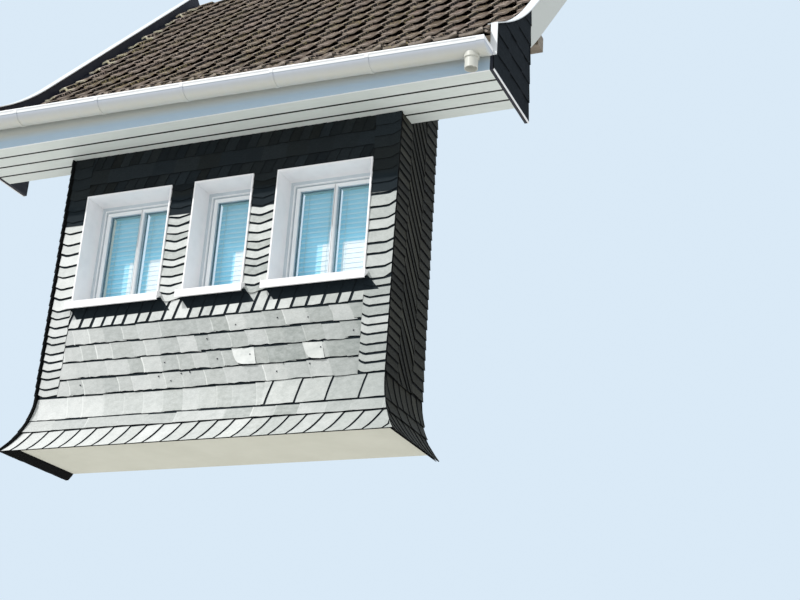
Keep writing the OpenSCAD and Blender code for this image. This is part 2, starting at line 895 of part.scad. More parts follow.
// On the left one board runs from the eaves to the top
module closing_board_left() {
    color(slate_c) along_x(-eaves_w / 2, -inside_w / 2) polygon(concat(
        [[-soffit_front, soffit_z]], roof_line(verge_start(left_rise), roof_len, -left_rise),
        backwards(roof_line(rear_run(verge_h), roof_len, verge_h)), [[-closing_rear, soffit_z]]));
}

// On the right the closing board stands over the soffit only
module closing_board_right() {
    color(slate_c) along_x(inside_w / 2, eaves_w / 2) polygon(concat(
        [[-soffit_front, soffit_z]], roof_line(verge_start(right_rise), rear_run(-right_rise), -right_rise),
        [[-closing_rear, soffit_z]]));
}

// Board along the roof's edge above it
module verge_board_right() {
    color(soffit_c) along_x(inside_w / 2, eaves_w / 2) polygon(concat(
        roof_line(rear_run(-right_rise), roof_len, -right_rise),
        backwards(roof_line(rear_run(verge_h), roof_len, verge_h))));
}

// Caps along the verges, folded down over the front edges of the closing boards
module verge_caps() {
    color(zinc_c) for (s = [-1, 1]) {
        rise = s < 0 ? left_rise : right_rise;
        x = s * (eaves_w - closing_t) / 2;
        along_x(x - cap_w / 2, x + cap_w / 2) roof_layer(verge_start(rise), roof_len, -rise - cap_t, -rise);
        top = roof_point(verge_start(rise), -rise - cap_t);
        fold_w = (cap_w + closing_t) / 2;
        fold_x = s * (inside_w + fold_w) / 2;
        along_x(fold_x - fold_w / 2, fold_x + fold_w / 2)
            translate([-soffit_front - cap_t, top[1] - cap_fold]) square([cap_t, cap_fold]);
    }
}

ledger();
floor_joists();
front_beam();
floor_deck();
underside_panel();
skirt_blocks();
wall_apron();
wall_head();
post_left();
pier_left();
pier_right();
post_right();
cheek_left();
cheek_right();
ceiling();
slate_front();
slate_left();
slate_right();
skirt_front();
skirt_left();
skirt_right();
lining_left();
lining_middle();
lining_right();
frame_left();
frame_middle();
frame_right();
glass_left();
glass_middle();
glass_right();
sill_left();
sill_middle();
sill_right();
blinds();
soffit_boards();
soffit_upright();
soffit_bearers();
fascia();
gutter();
gutter_brackets();
gutter_outlet();
gutter_ends();
closing_board_left();
closing_board_right();
verge_board_right();
verge_caps();
rafters();
wall_plate();
roof_boarding();
battens();
roof_tiles();
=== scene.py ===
# Slate-hung box bay under tiled eaves: slates, tiles, finishes, light and camera
import functools
import math
import random

import bmesh
import bpy
from bpy.props import FloatProperty, FloatVectorProperty, IntProperty, PointerProperty
from mathutils import Matrix, Vector


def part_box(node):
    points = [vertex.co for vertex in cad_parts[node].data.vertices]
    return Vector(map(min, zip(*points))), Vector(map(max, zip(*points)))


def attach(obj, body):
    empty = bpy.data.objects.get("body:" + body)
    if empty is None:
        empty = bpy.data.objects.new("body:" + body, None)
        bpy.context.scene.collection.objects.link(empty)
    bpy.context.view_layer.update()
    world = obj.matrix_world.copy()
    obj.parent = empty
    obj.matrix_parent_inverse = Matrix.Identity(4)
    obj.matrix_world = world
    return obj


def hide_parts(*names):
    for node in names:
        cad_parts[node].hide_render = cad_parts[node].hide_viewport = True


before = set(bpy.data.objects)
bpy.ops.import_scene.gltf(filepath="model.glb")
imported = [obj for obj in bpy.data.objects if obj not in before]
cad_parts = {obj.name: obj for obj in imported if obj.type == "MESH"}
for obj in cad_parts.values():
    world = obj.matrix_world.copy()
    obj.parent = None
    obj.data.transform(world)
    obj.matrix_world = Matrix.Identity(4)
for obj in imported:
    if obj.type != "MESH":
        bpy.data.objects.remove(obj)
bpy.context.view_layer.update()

bl_info = {
    "name": "Slate-Hung Box Bay",
    "version": (1, 0, 0),
    "blender": (4, 5, 0),
    "location": "View3D > Sidebar > Bay",
    "description": "Hangs the slates, lays the tiles and finishes a box bay under its eaves",
    "category": "Object",
}

MM = 0.001
SIDES = ("left", "middle", "right")
HANDS = ((-1, "left"), (1, "right"))

# Walls of the bay, from the plain model
FRONT_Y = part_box("slate_front")[0].y
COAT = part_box("slate_front")[1].y - FRONT_Y
HALF_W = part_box("slate_right")[1].x
FLARE_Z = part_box("slate_front")[0].z
FOOT_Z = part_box("skirt_front")[0].z
FLARE_OUT = FRONT_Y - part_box("skirt_front")[0].y
SOFFIT_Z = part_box("soffit_boards")[0].z
HEAD_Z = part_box("lining_left")[1].z
SILL_FOOT_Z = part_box("sill_left")[0].z
EDGE_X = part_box("lining_right")[1].x
UPRIGHT_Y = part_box("soffit_upright")[1].y

# Line of the painted shadow of the eaves on the front slates, at the middle of the bay, and its fall per
# metre to the right
EAVES_SHADOW_Z = 1.8865
EAVES_SHADOW_SLOPE = 0.0191
# Height of the painted shadow under each sill, how far above the sill's foot it starts, and its lean to the
# right
SILL_SHADOW_H = 124 * MM
SILL_CAP = 38 * MM
SILL_SHADOW_SLANT = 0.816
# Half the width over which one finish turns into the other at a crisp edge
SOFT = 2 * MM

# Patches of sunlight painted white on the blinds, as left edge, top and right edge in X, Z and X
SUN_PATCHES = ((-1.06, 1.65, -0.93), (-1.006, 1.76, -0.93), (-0.855, 1.655, -0.55), (0.0, 1.636, 0.24),
            (0.824, 1.61, 0.96), (0.873, 1.722, 0.96), (1.008, 1.612, 1.33))

# Middle of the gutter at X = 0 and its fall per metre to the right
GUTTER_Z = 2.788
GUTTER_FALL = 0.0148

# Spacing of the soffit boards and the joint between them
BOARD_PITCH = 160 * MM
BOARD_GAP = 10 * MM

# The skirt is an arc that starts upright at FLARE_Z
FLARE_ANGLE = 2 * math.atan(FLARE_OUT / (FLARE_Z - FOOT_Z))
FLARE_R = (FLARE_Z - FOOT_Z) / math.sin(FLARE_ANGLE)
SKIRT_RUN = FLARE_R * FLARE_ANGLE

# Roof profile on the tiles: a straight foot, a curve and the steep roof
TILE_STEP = 36.75 * MM
FOOT_PITCH = math.radians(33)
ROOF_PITCH = math.radians(48.2)
BELL_R = 3470 * MM
FOOT_LEN = 417 * MM
TILE_GAUGE = 295 * MM
TILE_T = 49 * MM
RAFTER_LOW = 237 * MM
HALF_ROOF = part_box("soffit_boards")[1].x
EAVES_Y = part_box("soffit_boards")[0].y - 120 * MM
EAVES_Z = SOFFIT_Z + 290 * MM
BELL_LEN = BELL_R * (ROOF_PITCH - FOOT_PITCH)


def length(name, default, description):
    """A size for the panel, given in mm"""
    return FloatProperty(name=name, default=default * MM, description=description, unit="LENGTH")


class BaySizes(bpy.types.PropertyGroup):
    """Sizes of what covers the bay"""
    slate_t: length("Slate", 6, "Thickness of one slate")
    slate_lap: length("Lap", 45, "How far a slate runs up under the course above")
    side_lap: length("Side lap", 30, "How far a slate runs under its neighbour")
    strip_course: length("Corner course", 74, "Height of the small courses at the corners")
    pier_course: length("Pier course", 80, "Height of the courses between the windows")
    tile_w: length("Tile", 213, "Cover width of one roof tile")
    slat_pitch: length("Slat pitch", 44, "Spacing of the blind slats")
    seed: IntProperty(name="Seed", description="Start of the random draws", default=7)


class BayLight(bpy.types.PropertyGroup):
    """Light and background"""
    sun: FloatProperty(name="Key light", description="Strength of the key light", default=2.75)
    sky: FloatProperty(name="Fill light", description="Strength of the light from all round", default=0.8)
    backdrop: FloatVectorProperty(name="Backdrop", description="Colour of the plain background",
                                  subtype="COLOR", size=3, default=(0.70, 0.82, 0.93))


# Colours and materials


def linear(code):
    """Linear colour of an sRGB hex value"""
    parts = [int(code[i:i + 2], 16) / 255 for i in (1, 3, 5)]
    return tuple(c / 12.92 if c <= 0.04045 else ((c + 0.055) / 1.055) ** 2.4 for c in parts) + (1.0,)


def add_node(tree, kind, inputs=None, **settings):
    """Adds a node with its settings and returns its outputs; inputs maps a socket's name or number to a value
    or to the socket that feeds it"""
    node = tree.nodes.new(kind)
    for key, value in settings.items():
        setattr(node, key, value)
    for key, value in (inputs or {}).items():
        if isinstance(value, bpy.types.NodeSocket):
            tree.links.new(value, node.inputs[key])
        else:
            node.inputs[key].default_value = value
    return node.outputs


def new_finish(name, roughness, **values):
    """A material and its nodes; roughness and the other values are set on the shader's own sockets"""
    material = bpy.data.materials.new(name)
    material.use_nodes = True
    shader = material.node_tree.nodes["Principled BSDF"]
    shader.inputs["Roughness"].default_value = roughness
    for key, value in values.items():
        shader.inputs[key.replace("_", " ")].default_value = value
    return material, material.node_tree


def where(tree, *edges):
    """1 past all edges and 0 before any; an edge is a value with the numbers at which it counts 0 and 1"""
    mask = 1.0
    for value, none, full in edges:
        step = add_node(tree, "ShaderNodeMapRange", {"Value": value, "From Min": none, "From Max": full})
        both = {0: step[0], 1: mask}
        mask = add_node(tree, "ShaderNodeMath", both, operation="MULTIPLY")[0]
    return mask


def grain(tree, size, stretch=(1, 1, 1), detail=4.0, low=0.35, high=0.65):
    """Irregular spots of the given size in mm, as a mask from 0 to 1"""
    place = add_node(tree, "ShaderNodeTexCoord")["Object"]
    scaled = add_node(tree, "ShaderNodeMapping", {"Vector": place, "Scale": stretch})[0]
    noise = add_node(tree, "ShaderNodeTexNoise",
                     {"Vector": scaled, "Scale": 1 / (size * MM), "Detail": detail, "Roughness": 0.6})
    return where(tree, (noise[0], low, high))


def coats(tree, colour, *layers):
    """A colour with coats over it; a coat is its own colour, its strength and the masks that bound it"""
    for over, factor, *masks in layers:
        for mask in masks:
            factor = add_node(tree, "ShaderNodeMath", {0: mask, 1: factor}, operation="MULTIPLY")[0]
        ends = [linear(end) if isinstance(end, str) else end for end in (colour, over)]
        mix = add_node(tree, "ShaderNodeMix", {0: factor, 6: ends[0], 7: ends[1]}, data_type="RGBA")
        colour = mix[2]
    return colour


def surface(tree, colour, heights=(), depth=0.0, strength=0.6):
    """Gives the shader its colour and, with a depth in mm, bumps that follow the sum of the heights"""
    shader = tree.nodes["Principled BSDF"]
    tree.links.new(colour, shader.inputs["Base Color"])
    if depth:
        total = heights[0]
        for height in heights[1:]:
            total = add_node(tree, "ShaderNodeMath", {0: total, 1: height}, operation="ADD")[0]
        relief = {"Height": total, "Distance": depth * MM, "Strength": strength}
        bump = add_node(tree, "ShaderNodeBump", relief)
        tree.links.new(bump[0], shader.inputs["Normal"])


def two_tones(name, roughness, first, second, size, share=1.0, depth=0.0, ior=1.5, gloss=0.5, **pattern):
    """A plain finish that drifts between two close tones, in spots of the given size in mm"""
    material, tree = new_finish(name, roughness, IOR=ior, Specular_IOR_Level=gloss)
    spots = grain(tree, size, **pattern)
    surface(tree, coats(tree, first, (second, share, spots)), (spots,), depth)
    return material


def on_object(tree):
    """X, Y and Z of the point on the object"""
    place = add_node(tree, "ShaderNodeTexCoord")["Object"]
    return add_node(tree, "ShaderNodeSeparateXYZ", {0: place})


def on_points(tree, name):
    """The three values that the mesh's points carry under a name"""
    kept = add_node(tree, "ShaderNodeAttribute", attribute_name=name)["Color"]
    return add_node(tree, "ShaderNodeSeparateColor", {0: kept})


def painted_shadow_masks(tree):
    """Masks whose product is 1 on the front slates and 0 in the painted shadows close under the eaves and
    right below each sill; with them a mask for a flat painted shade on the dark slates in the rim just above
    the eaves' shadow line, where the key light still falls"""
    x, _, z = on_object(tree)
    fall = {0: x, 1: EAVES_SHADOW_SLOPE, 2: z}
    line = add_node(tree, "ShaderNodeMath", fall, operation="MULTIPLY_ADD")[0]
    # painted shadow of the eaves: 0 above the line and 1 below it
    reach = [where(tree, (line, EAVES_SHADOW_Z + 5 * MM, EAVES_SHADOW_Z - 5 * MM))]
    for name in SIDES:
        low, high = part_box("sill_" + name)
        drop = add_node(tree, "ShaderNodeMath", {0: low.z + SILL_CAP, 1: z}, operation="SUBTRACT")[0]
        slant = {0: drop, 1: -SILL_SHADOW_SLANT, 2: x}
        across = add_node(tree, "ShaderNodeMath", slant, operation="MULTIPLY_ADD")[0]
        # painted shadow of the sill, leaning to the right as it goes down
        sill_shadow = where(tree, (across, low.x - SOFT, low.x + SOFT), (across, high.x + SOFT, high.x - SOFT),
                    (drop, SILL_SHADOW_H + SOFT, SILL_SHADOW_H - SOFT), (drop, -SOFT, SOFT))
        reach.append(where(tree, (sill_shadow, 1.0, 0.0)))
    return reach, where(tree, (line, EAVES_SHADOW_Z + 200 * MM, EAVES_SHADOW_Z + 150 * MM))


def split_relief(tree, fine):
    """Heights of a split face: long ridges and fine scales"""
    return grain(tree, 26, (1, 1, 0.55), 5.0, 0.3, 0.7), fine


def slate_painted_light():
    """Split clay slate: dark as painted shade under the eaves, right below each sill and where its points
    carry no skin, with a pale coat that stands in for the slates in sunlight and sheen, paler towards the
    left, and a crisp edge between the two"""
    material, tree = new_finish("Split slate, painted light and shade", 0.7, IOR=1.5, Specular_IOR_Level=0.06)
    tone, tint, skin = on_points(tree, "slate_finish")
    fine = grain(tree, 14, (1, 1, 2.2), 6.0)
    across = on_object(tree)[0]
    # reach holds the painted shadows of the eaves and the sills; rim marks a flat painted shade on the dark
    # slates just above the eaves' shadow line
    reach, rim = painted_shadow_masks(tree)
    dark = coats(tree, "#181e22", ("#2b3338", 1.0, tone), ("#26261f", 0.45, tint), ("#111416", 0.4, fine),
                 ("#1e262b", 1.0, rim))
    # pale coat: painted sunlight and sheen over the slates' own tones, paler towards the left and greyer
    # towards the right
    pale = coats(tree, "#8b928e", ("#e8eae8", 1.0, tone), ("#b7bbb2", 0.3, tint),
                 ("#a4aaa7", 0.45, grain(tree, 90)),
                 ("#dfe3e1", 0.35, grain(tree, 45, (1, 1, 1.6))),
                 ("#e9ebea", 0.45, where(tree, (across, 0.9, -1.6))),
                 ("#9ba19e", 0.45, where(tree, (across, 0.6, 1.7))))
    cover = add_node(tree, "ShaderNodeMapRange", {"Value": fine, "To Min": 0.9, "To Max": 1.04})[0]
    face = coats(tree, dark, (pale, 1.0, skin, cover, *reach))
    surface(tree, face, split_relief(tree, fine), 1.6, 0.7)
    return material


def side_slate_painted_shade():
    """Split clay slate on the side walls: painted near black and a little warm as their shade, with the
    ripple of the split, and blacker still as painted shadow where its points carry no skin
    """
    material, tree = new_finish("Split slate, painted side shade", 0.66, IOR=1.5, Specular_IOR_Level=0.1)
    tone, tint, skin = on_points(tree, "slate_finish")
    fine = grain(tree, 14, (1, 1, 2.2), 6.0)
    face = coats(tree, "#21201a", ("#44433a", 1.0, tone), ("#302e25", 0.5, tint), ("#141412", 0.4, fine))
    surface(tree, coats(tree, "#0c0c0b", (face, 1.0, skin)), split_relief(tree, fine), 1.6, 0.7)
    return material


def board_slate():
    """Thin split slate on the closing boards: even, cold black-grey"""
    return two_tones("Split slate, thin", 0.7, "#0f1418", "#181d22", 30, depth=1.0, gloss=0.05,
                     stretch=(1, 0.5, 1), detail=5.0)


def slate_edge():
    """Chipped rim of a slate: painted dark as the shade along the slates' edges, and rough"""
    return two_tones("Split slate, chipped rim", 0.85, "#0e1011", "#1c1f21", 9, gloss=0.1)


def roofing_felt():
    """Bitumen felt on the boards behind the slates: black and dull"""
    return two_tones("Bitumen felt", 0.93, "#0c0d0d", "#161717", 5, depth=0.6, gloss=0.1)


def smooth_render():
    """Float-finished render under matt masonry paint: warm white with faint trowel sweeps"""
    material, tree = new_finish("Painted smooth render", 0.86, IOR=1.48)
    sweeps = grain(tree, 420, detail=3.0)
    sand = grain(tree, 2.5, detail=2.0)
    surface(tree, coats(tree, "#d9d8ca", ("#cecdbe", 0.6, sweeps)), (sand, sweeps, sweeps), 0.5, 0.5)
    return material


def extruded_pvc():
    """Extruded white PVC, painted blue-grey as the shade on the frames' faces, with a soft satin shine and a
    trace of grime
    """
    return two_tones("Extruded white PVC", 0.32, "#ccd6dc", "#bcc7cf", 160, 0.5, ior=1.53,
                     stretch=(1, 1, 0.4), low=0.45, high=0.8)


def gutter_pvc():
    """White rainwater PVC after some years: clean white on the rolled lip over a thin painted shadow line,
    cool grey below it and warmer grey under the belly"""
    material, tree = new_finish("Rainwater PVC, chalked", 0.36, IOR=1.53)
    x, _, z = on_object(tree)
    fall = {0: x, 1: GUTTER_FALL, 2: z}
    level = add_node(tree, "ShaderNodeMath", fall, operation="MULTIPLY_ADD")[0]
    # bands by height: cool grey upper body, a painted shadow line under the lip, and the bright lip
    level_bands = [(film, 1.0, where(tree, (level, GUTTER_Z - none * MM, GUTTER_Z - full * MM)))
             for film, none, full in (("#bcc2cd", 92, 45), ("#9aa3ab", 40, 37), ("#f6f7f8", 33, 30))]
    dust = grain(tree, 55, (1, 0.2, 0.2), 3.0, 0.45, 0.8)
    surface(tree, coats(tree, "#cbcbc2", *level_bands, ("#c9ced4", 0.3, dust)))
    return material


def coated_aluminium():
    """Aluminium sheet with white powder coat: even, smooth and slightly orange-peeled"""
    material, tree = new_finish("Powder-coated aluminium", 0.34, IOR=1.5)
    dust = grain(tree, 120, low=0.45, high=0.8)
    peel = grain(tree, 3, detail=2.0)
    surface(tree, coats(tree, "#f7f6f7", ("#e6e6e8", 0.5, dust)), (peel,), 0.15, 0.4)
    return material


def float_glass():
    """Float glass with a reflecting coat that throws back the blue backdrop, over an even cyan colour that is
    painted reflection of the sky
    """
    material, tree = new_finish("Coated float glass", 0.03, IOR=1.52, Alpha=0.14, Specular_IOR_Level=1.0,
                                Coat_Weight=1.0, Coat_Roughness=0.03, Coat_IOR=2.0)
    ripple = grain(tree, 500, detail=1.0, low=0.3, high=0.7)
    surface(tree, coats(tree, "#86d4f4", ("#9adcf5", 1.0, ripple)))
    return material


def slat_lacquer():
    """Roll-lacquered slats painted light blue as the sky's reflection in the panes, paler towards the right
    end and towards the top, with a painted highlight on each slat's lower lip, and painted white in the
    patches of sunlight that fall through the panes"""
    material, tree = new_finish("Lacquered aluminium slats", 0.42, IOR=1.5)
    x, _, z = on_object(tree)
    lip, glow, _ = on_points(tree, "slat_finish")
    # painted patches of sunlight on the slats
    sunny = [("#fbfafa", 1.0, where(tree, (x, left - SOFT, left + SOFT), (x, right + SOFT, right - SOFT),
                                    (z, top + SOFT, top - SOFT))) for left, top, right in SUN_PATCHES]
    surface(tree, coats(tree, "#7fddfd", ("#8fe3fb", 0.5, grain(tree, 70, (1, 1, 3), 3.0)),
                        ("#c2edf5", 1.0, glow), ("#e4f8fb", 0.6, lip), *sunny))
    return material


def rail_lacquer():
    """Head and bottom rails of the blinds: grey-green lacquer with a low sheen"""
    return two_tones("Lacquered rail", 0.4, "#9fbcb2", "#8aa69d", 70, 0.5, stretch=(1, 1, 3), detail=3.0)


def shade_gasket():
    """EPDM glazing gasket, matt, dark and greenish behind the glass; set widest at the left of each pane, it
    stands in as painted shade inside the sash
    """
    return two_tones("Glazing gasket, painted shade", 0.7, "#1d2b2b", "#2b3c3b", 6, ior=1.52)


def pale_seal():
    """Soft PVC seals in the rebates of frame and sash: pale and dull"""
    return two_tones("Soft PVC seal", 0.6, "#dfe6ea", "#e9eef0", 30, ior=1.53)


def bead_pvc():
    """Glazing beads and cover lips of white PVC: the brightest, glossiest parts of the window"""
    return two_tones("Glossy white PVC", 0.2, "#fafbfc", "#eceef0", 160, 0.3, ior=1.53,
                     stretch=(1, 1, 0.4), low=0.45, high=0.8)


def painted_boards():
    """Spruce boards under pale grey alkyd paint: faint grain, painted shade along the joints, and the
    fascia's painted blue of the sky's light brought round the front edge to a white line"""
    material, tree = new_finish("Painted spruce boards", 0.5, IOR=1.5)
    fibres = grain(tree, 8, (0.06, 1, 1), 5.0)
    _, y, z = on_object(tree)
    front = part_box("soffit_boards")[0].y
    first = front + BOARD_PITCH - BOARD_GAP / 2
    past = add_node(tree, "ShaderNodeMath", {0: y, 1: first}, operation="SUBTRACT")[0]
    away = add_node(tree, "ShaderNodeMath", {0: past, 1: BOARD_PITCH / 2}, operation="PINGPONG")[0]
    # painted shade along each joint between the boards
    joint = where(tree, (away, 12 * MM, 10 * MM), (y, first + 2.5 * BOARD_PITCH, first + 2.4 * BOARD_PITCH),
                  (y, first - 21 * MM, first - 19 * MM), (z, SOFFIT_Z + 30 * MM, SOFFIT_Z + 25 * MM))
    # the front edge is painted blue as the sky's light on the fascia
    surface(tree, coats(
        tree, "#e6ede9", ("#dae1dc", 0.7, grain(tree, 380, (0.6, 1, 1), 3.0)), ("#c6c6ba", 0.2, fibres),
        ("#f7f8f8", 1.0, where(tree, (y, front + 17 * MM, front + 14 * MM))),
        ("#b2c9db", 1.0, where(tree, (y, front + 1.5 * MM, front + 0.5 * MM))), ("#22221c", 1.0, joint)),
        (fibres,), 0.4, 0.5)
    return material


def fascia_paint():
    """Upright boards under alkyd paint: painted blue lower down as the light of the blue sky on them, and
    warm grey near the top under the gutter, which hides the sky
    """
    material, tree = new_finish("Painted fascia", 0.42, IOR=1.5)
    # grey band near the top where the gutter hides the sky; blue below as painted sky light
    under_gutter = where(tree, (on_object(tree)[2], SOFFIT_Z + 60 * MM, SOFFIT_Z + 130 * MM))
    surface(tree, coats(tree, "#b2c9db", ("#cbcdc5", 1.0, under_gutter),
                        ("#aab0b6", 0.12, grain(tree, 8, (0.06, 1, 1), 5.0))))
    return material


def planed_spruce():
    """Planed spruce framing gone dull with age: long darker grain lines"""
    material, tree = new_finish("Planed spruce", 0.62, IOR=1.5)
    rings = grain(tree, 22, (0.08, 0.35, 1), 5.0)
    knots = grain(tree, 180, (0.5, 1, 1), 2.0, 0.62, 0.72)
    colour = coats(tree, "#8f8272", ("#73685a", 1.0, rings), ("#54453a", 0.6, knots))
    surface(tree, colour, (rings,), 0.4, 0.5)
    return material


def coated_sheet():
    """Folded sheet with a pale factory coat: smooth, with a dull film of dust"""
    return two_tones("Coated steel sheet", 0.4, "#e9ecee", "#ccd2d6", 140, 0.6,
                     stretch=(1, 0.4, 0.4), detail=3.0)


def lead_sheet():
    """Lead-coated sheet gone dark: blue-grey and dull"""
    return two_tones("Weathered lead sheet", 0.6, "#23242f", "#2e303a", 120, gloss=0.3)


def clay_tile():
    """Fired clay tiles after decades: brown with green and red patches, rough, with a painted highlight on
    the rolls and along the feet, painted black shade on the steep side of each roll and under each foot, pale
    mortar chalk at the verge and pale lichen spots"""
    material, tree = new_finish("Weathered clay tile", 0.88, IOR=1.5, Specular_IOR_Level=0.2)
    tone, moss, tile_light_chalk = on_points(tree, "tile_finish")
    cloud = grain(tree, 60, detail=5.0)
    specks = grain(tree, 22, detail=3.0, low=0.52, high=0.6)
    lichen = coats(tree, "#b3a67c", ("#c4b3aa", 1.0, tone))
    # the third value of tile_finish gives the painted highlight, the painted black shade and the verge's
    # mortar chalk
    surface(tree, coats(
        tree, "#40352f", ("#75685f", 1.0, tone), ("#5f6046", 0.3, grain(tree, 330)),
        ("#7a4c3c", 0.25, grain(tree, 240, (1.3, 1, 1))),
        ("#231b16", 0.6, cloud), ("#d2c5ba", 0.85, tile_light_chalk),
        ("#0c0705", 1.0, where(tree, (tile_light_chalk, -0.1, -0.7))), ("#e3e0c6", 1.0, where(tree, (tile_light_chalk, 1.2, 1.6))),
        (lichen, 0.85, specks, moss)), (cloud, specks), 1.5, 0.8)
    return material


def studio_floor():
    """Plain pale floor"""
    return two_tones("Studio floor", 0.9, "#d8d8d6", "#d0d0cd", 900, 0.2, ior=1.5)


@functools.cache
def finish(maker):
    """The material of a maker function, made once"""
    return maker()


def dress(maker, nodes, bevel=0.0):
    """Gives plain nodes their material and, where asked, eased edges"""
    for name in nodes:
        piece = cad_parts[name]
        piece.data.materials.clear()
        piece.data.materials.append(finish(maker))
        if bevel:
            weld = piece.modifiers.new("Joined corners", "WELD")
            weld.merge_threshold = 0.02 * MM
            ease = piece.modifiers.new("Eased edges", "BEVEL")
            ease.width = bevel
            ease.segments = 2
            ease.limit_method = "ANGLE"
            ease.angle_limit = math.radians(40)
            ease.use_clamp_overlap = True


# Mesh building

# Finish value of points whose material doesn't look at it
PLAIN = (0.5, 0.5, 0, 1)


def put(name, data):
    """Adds an object to the scene"""
    made = bpy.data.objects.new(name, data)
    bpy.context.scene.collection.objects.link(made)
    return made


class Sheet:
    """Collects points and faces of one piece, with a finish value at every point"""

    def __init__(self, attribute):
        self.attribute = attribute
        self.points = []
        self.faces = []
        self.kinds = []
        self.values = []

    def grid(self, cells):
        """A closed plate from rows of (upper point, lower point, finish value); its lower side and its rim
        are of kind 1"""
        rows, columns = len(cells), len(cells[0])
        first = len(self.points)
        for layer in (0, 1):
            self.points += [cell[layer] for row in cells for cell in row]
            self.values += [cell[2] for row in cells for cell in row]

        def at(i, j, layer):
            return first + (layer * rows + i) * columns + j

        for i in range(rows - 1):
            for j in range(columns - 1):
                self.add_face((at(i, j, 0), at(i + 1, j, 0), at(i + 1, j + 1, 0), at(i, j + 1, 0)), 0)
                self.add_face((at(i, j, 1), at(i, j + 1, 1), at(i + 1, j + 1, 1), at(i + 1, j, 1)), 1)
        rim = [(0, j) for j in range(columns)]
        rim += [(i, columns - 1) for i in range(1, rows)]
        rim += [(rows - 1, j) for j in range(columns - 2, -1, -1)]
        rim += [(i, 0) for i in range(rows - 2, 0, -1)]
        for one, two in zip(rim, rim[1:] + rim[:1]):
            self.add_face((at(*one, 0), at(*two, 0), at(*two, 1), at(*one, 1)), 1)

    def add_face(self, corners, kind):
        self.faces.append(corners)
        self.kinds.append(kind)

    def box(self, low, high):
        """A block between two corners"""
        self.grid([[(Vector((x, y, high[2])), Vector((x, y, low[2])), PLAIN) for x in (low[0], high[0])]
                   for y in (low[1], high[1])])

    def piece(self, name, makers, slot, replaces=()):
        """Makes the object with all faces outwards, rides it on the body and hides the nodes it stands for;
        slot is not used"""
        mesh = bpy.data.meshes.new(name)
        mesh.from_pydata([tuple(p) for p in self.points], [], self.faces)
        mesh.polygons.foreach_set("material_index", self.kinds)
        layer = mesh.color_attributes.new(self.attribute, "FLOAT_COLOR", "POINT")
        layer.data.foreach_set("color", [c for value in self.values for c in value])
        for maker in makers:
            mesh.materials.append(finish(maker))
        mesh.update()
        work = bmesh.new()
        work.from_mesh(mesh)
        bmesh.ops.recalc_face_normals(work, faces=work.faces)
        work.to_mesh(mesh)
        work.free()
        made = put(name, mesh)
        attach(made, "root")
        if replaces:
            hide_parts(*replaces)


def steps(start, stop, size):
    """Even stops from start to stop, about size apart"""
    count = max(1, round(abs(stop - start) / size))
    return [start + (stop - start) * i / count for i in range(count)] + [stop]


def smooth(x, low, high):
    """0 below low, 1 above high and a soft step between"""
    t = min(1.0, max(0.0, (x - low) / (high - low)))
    return t * t * (3 - 2 * t)


# Surfaces that slates hang on

# Height of the right closing board above the tiles
RISE = 34 * MM

# The left side's slates stand this far in front of the window wall, in mm
OVERHANG = 17


def skin_point(run, depth):
    """Reach and level on the wall's face: run is the way up from the top of the skirt, or down it below 0"""
    if run >= 0:
        return -depth, FLARE_Z + run
    angle = -run / FLARE_R
    return (FLARE_R - (FLARE_R + depth) * math.cos(angle),
            max(FOOT_Z, FLARE_Z - (FLARE_R + depth) * math.sin(angle)))


class FrontWall:
    """The window wall: u runs along X, v up the face, d out from the boards"""

    foot = 1 * MM - SKIRT_RUN

    def place(self, u, v, d):
        reach, level = skin_point(v, COAT - d)
        return Vector((u, FRONT_Y - reach, level))

    def limits(self, v):
        reach = max(0.0, skin_point(v, 0)[0])
        return COAT + 1 * MM - HALF_W - reach, HALF_W + reach

    def ceiling(self, u):
        return SOFFIT_Z - FLARE_Z


class SideWall:
    """A side wall: u runs back from the corner, v up the face, d out from the boards"""

    foot = 1 * MM - SKIRT_RUN

    def __init__(self, side):
        self.side = side

    def place(self, u, v, d):
        reach, level = skin_point(v, COAT - d)
        return Vector((self.side * (HALF_W + reach), FRONT_Y + u, level))

    def limits(self, v):
        reach = max(0.0, skin_point(v, 0)[0])
        low = (26 if self.side > 0 else -OVERHANG) * MM - reach
        if v > SOFFIT_Z - FLARE_Z + 1 * MM:
            low = UPRIGHT_Y - FRONT_Y
        return low, -FRONT_Y

    def ceiling(self, u):
        if u < UPRIGHT_Y - FRONT_Y - 1 * MM:
            return SOFFIT_Z - FLARE_Z
        return roof_level(FRONT_Y + u, RAFTER_LOW) - FLARE_Z


class ClosingBoard:
    """The outer face of a closing board under the eaves: u runs back from its front, v up from its foot"""

    foot = 0.0

    def __init__(self, side):
        low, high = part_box("closing_board_right")
        self.side = side
        self.face = high.x
        self.front = low.y
        self.depth = high.y - low.y

    def place(self, u, v, d):
        return Vector((self.side * (self.face + d - 12 * MM), self.front + u, SOFFIT_Z + v))

    def limits(self, v):
        return 0.0, self.depth

    def ceiling(self, u):
        return roof_level(self.front + u, -RISE) - 4 * MM - SOFFIT_Z


def roof_point(s, depth):
    """Y and Z of a point on the roof: s runs up the tiles from the eaves, depth is below their face"""
    if s < FOOT_LEN:
        y, z, angle = EAVES_Y + s * math.cos(FOOT_PITCH), EAVES_Z + s * math.sin(FOOT_PITCH), FOOT_PITCH
    else:
        angle = min(ROOF_PITCH, FOOT_PITCH + (s - FOOT_LEN) / BELL_R)
        rest = max(0.0, s - FOOT_LEN - BELL_LEN)
        y = EAVES_Y + FOOT_LEN * math.cos(FOOT_PITCH) + BELL_R * (math.sin(angle) - math.sin(FOOT_PITCH))
        z = EAVES_Z + FOOT_LEN * math.sin(FOOT_PITCH) + BELL_R * (math.cos(FOOT_PITCH) - math.cos(angle))
        y += rest * math.cos(ROOF_PITCH)
        z += rest * math.sin(ROOF_PITCH)
    return y + depth * math.sin(angle), z - depth * math.cos(angle)


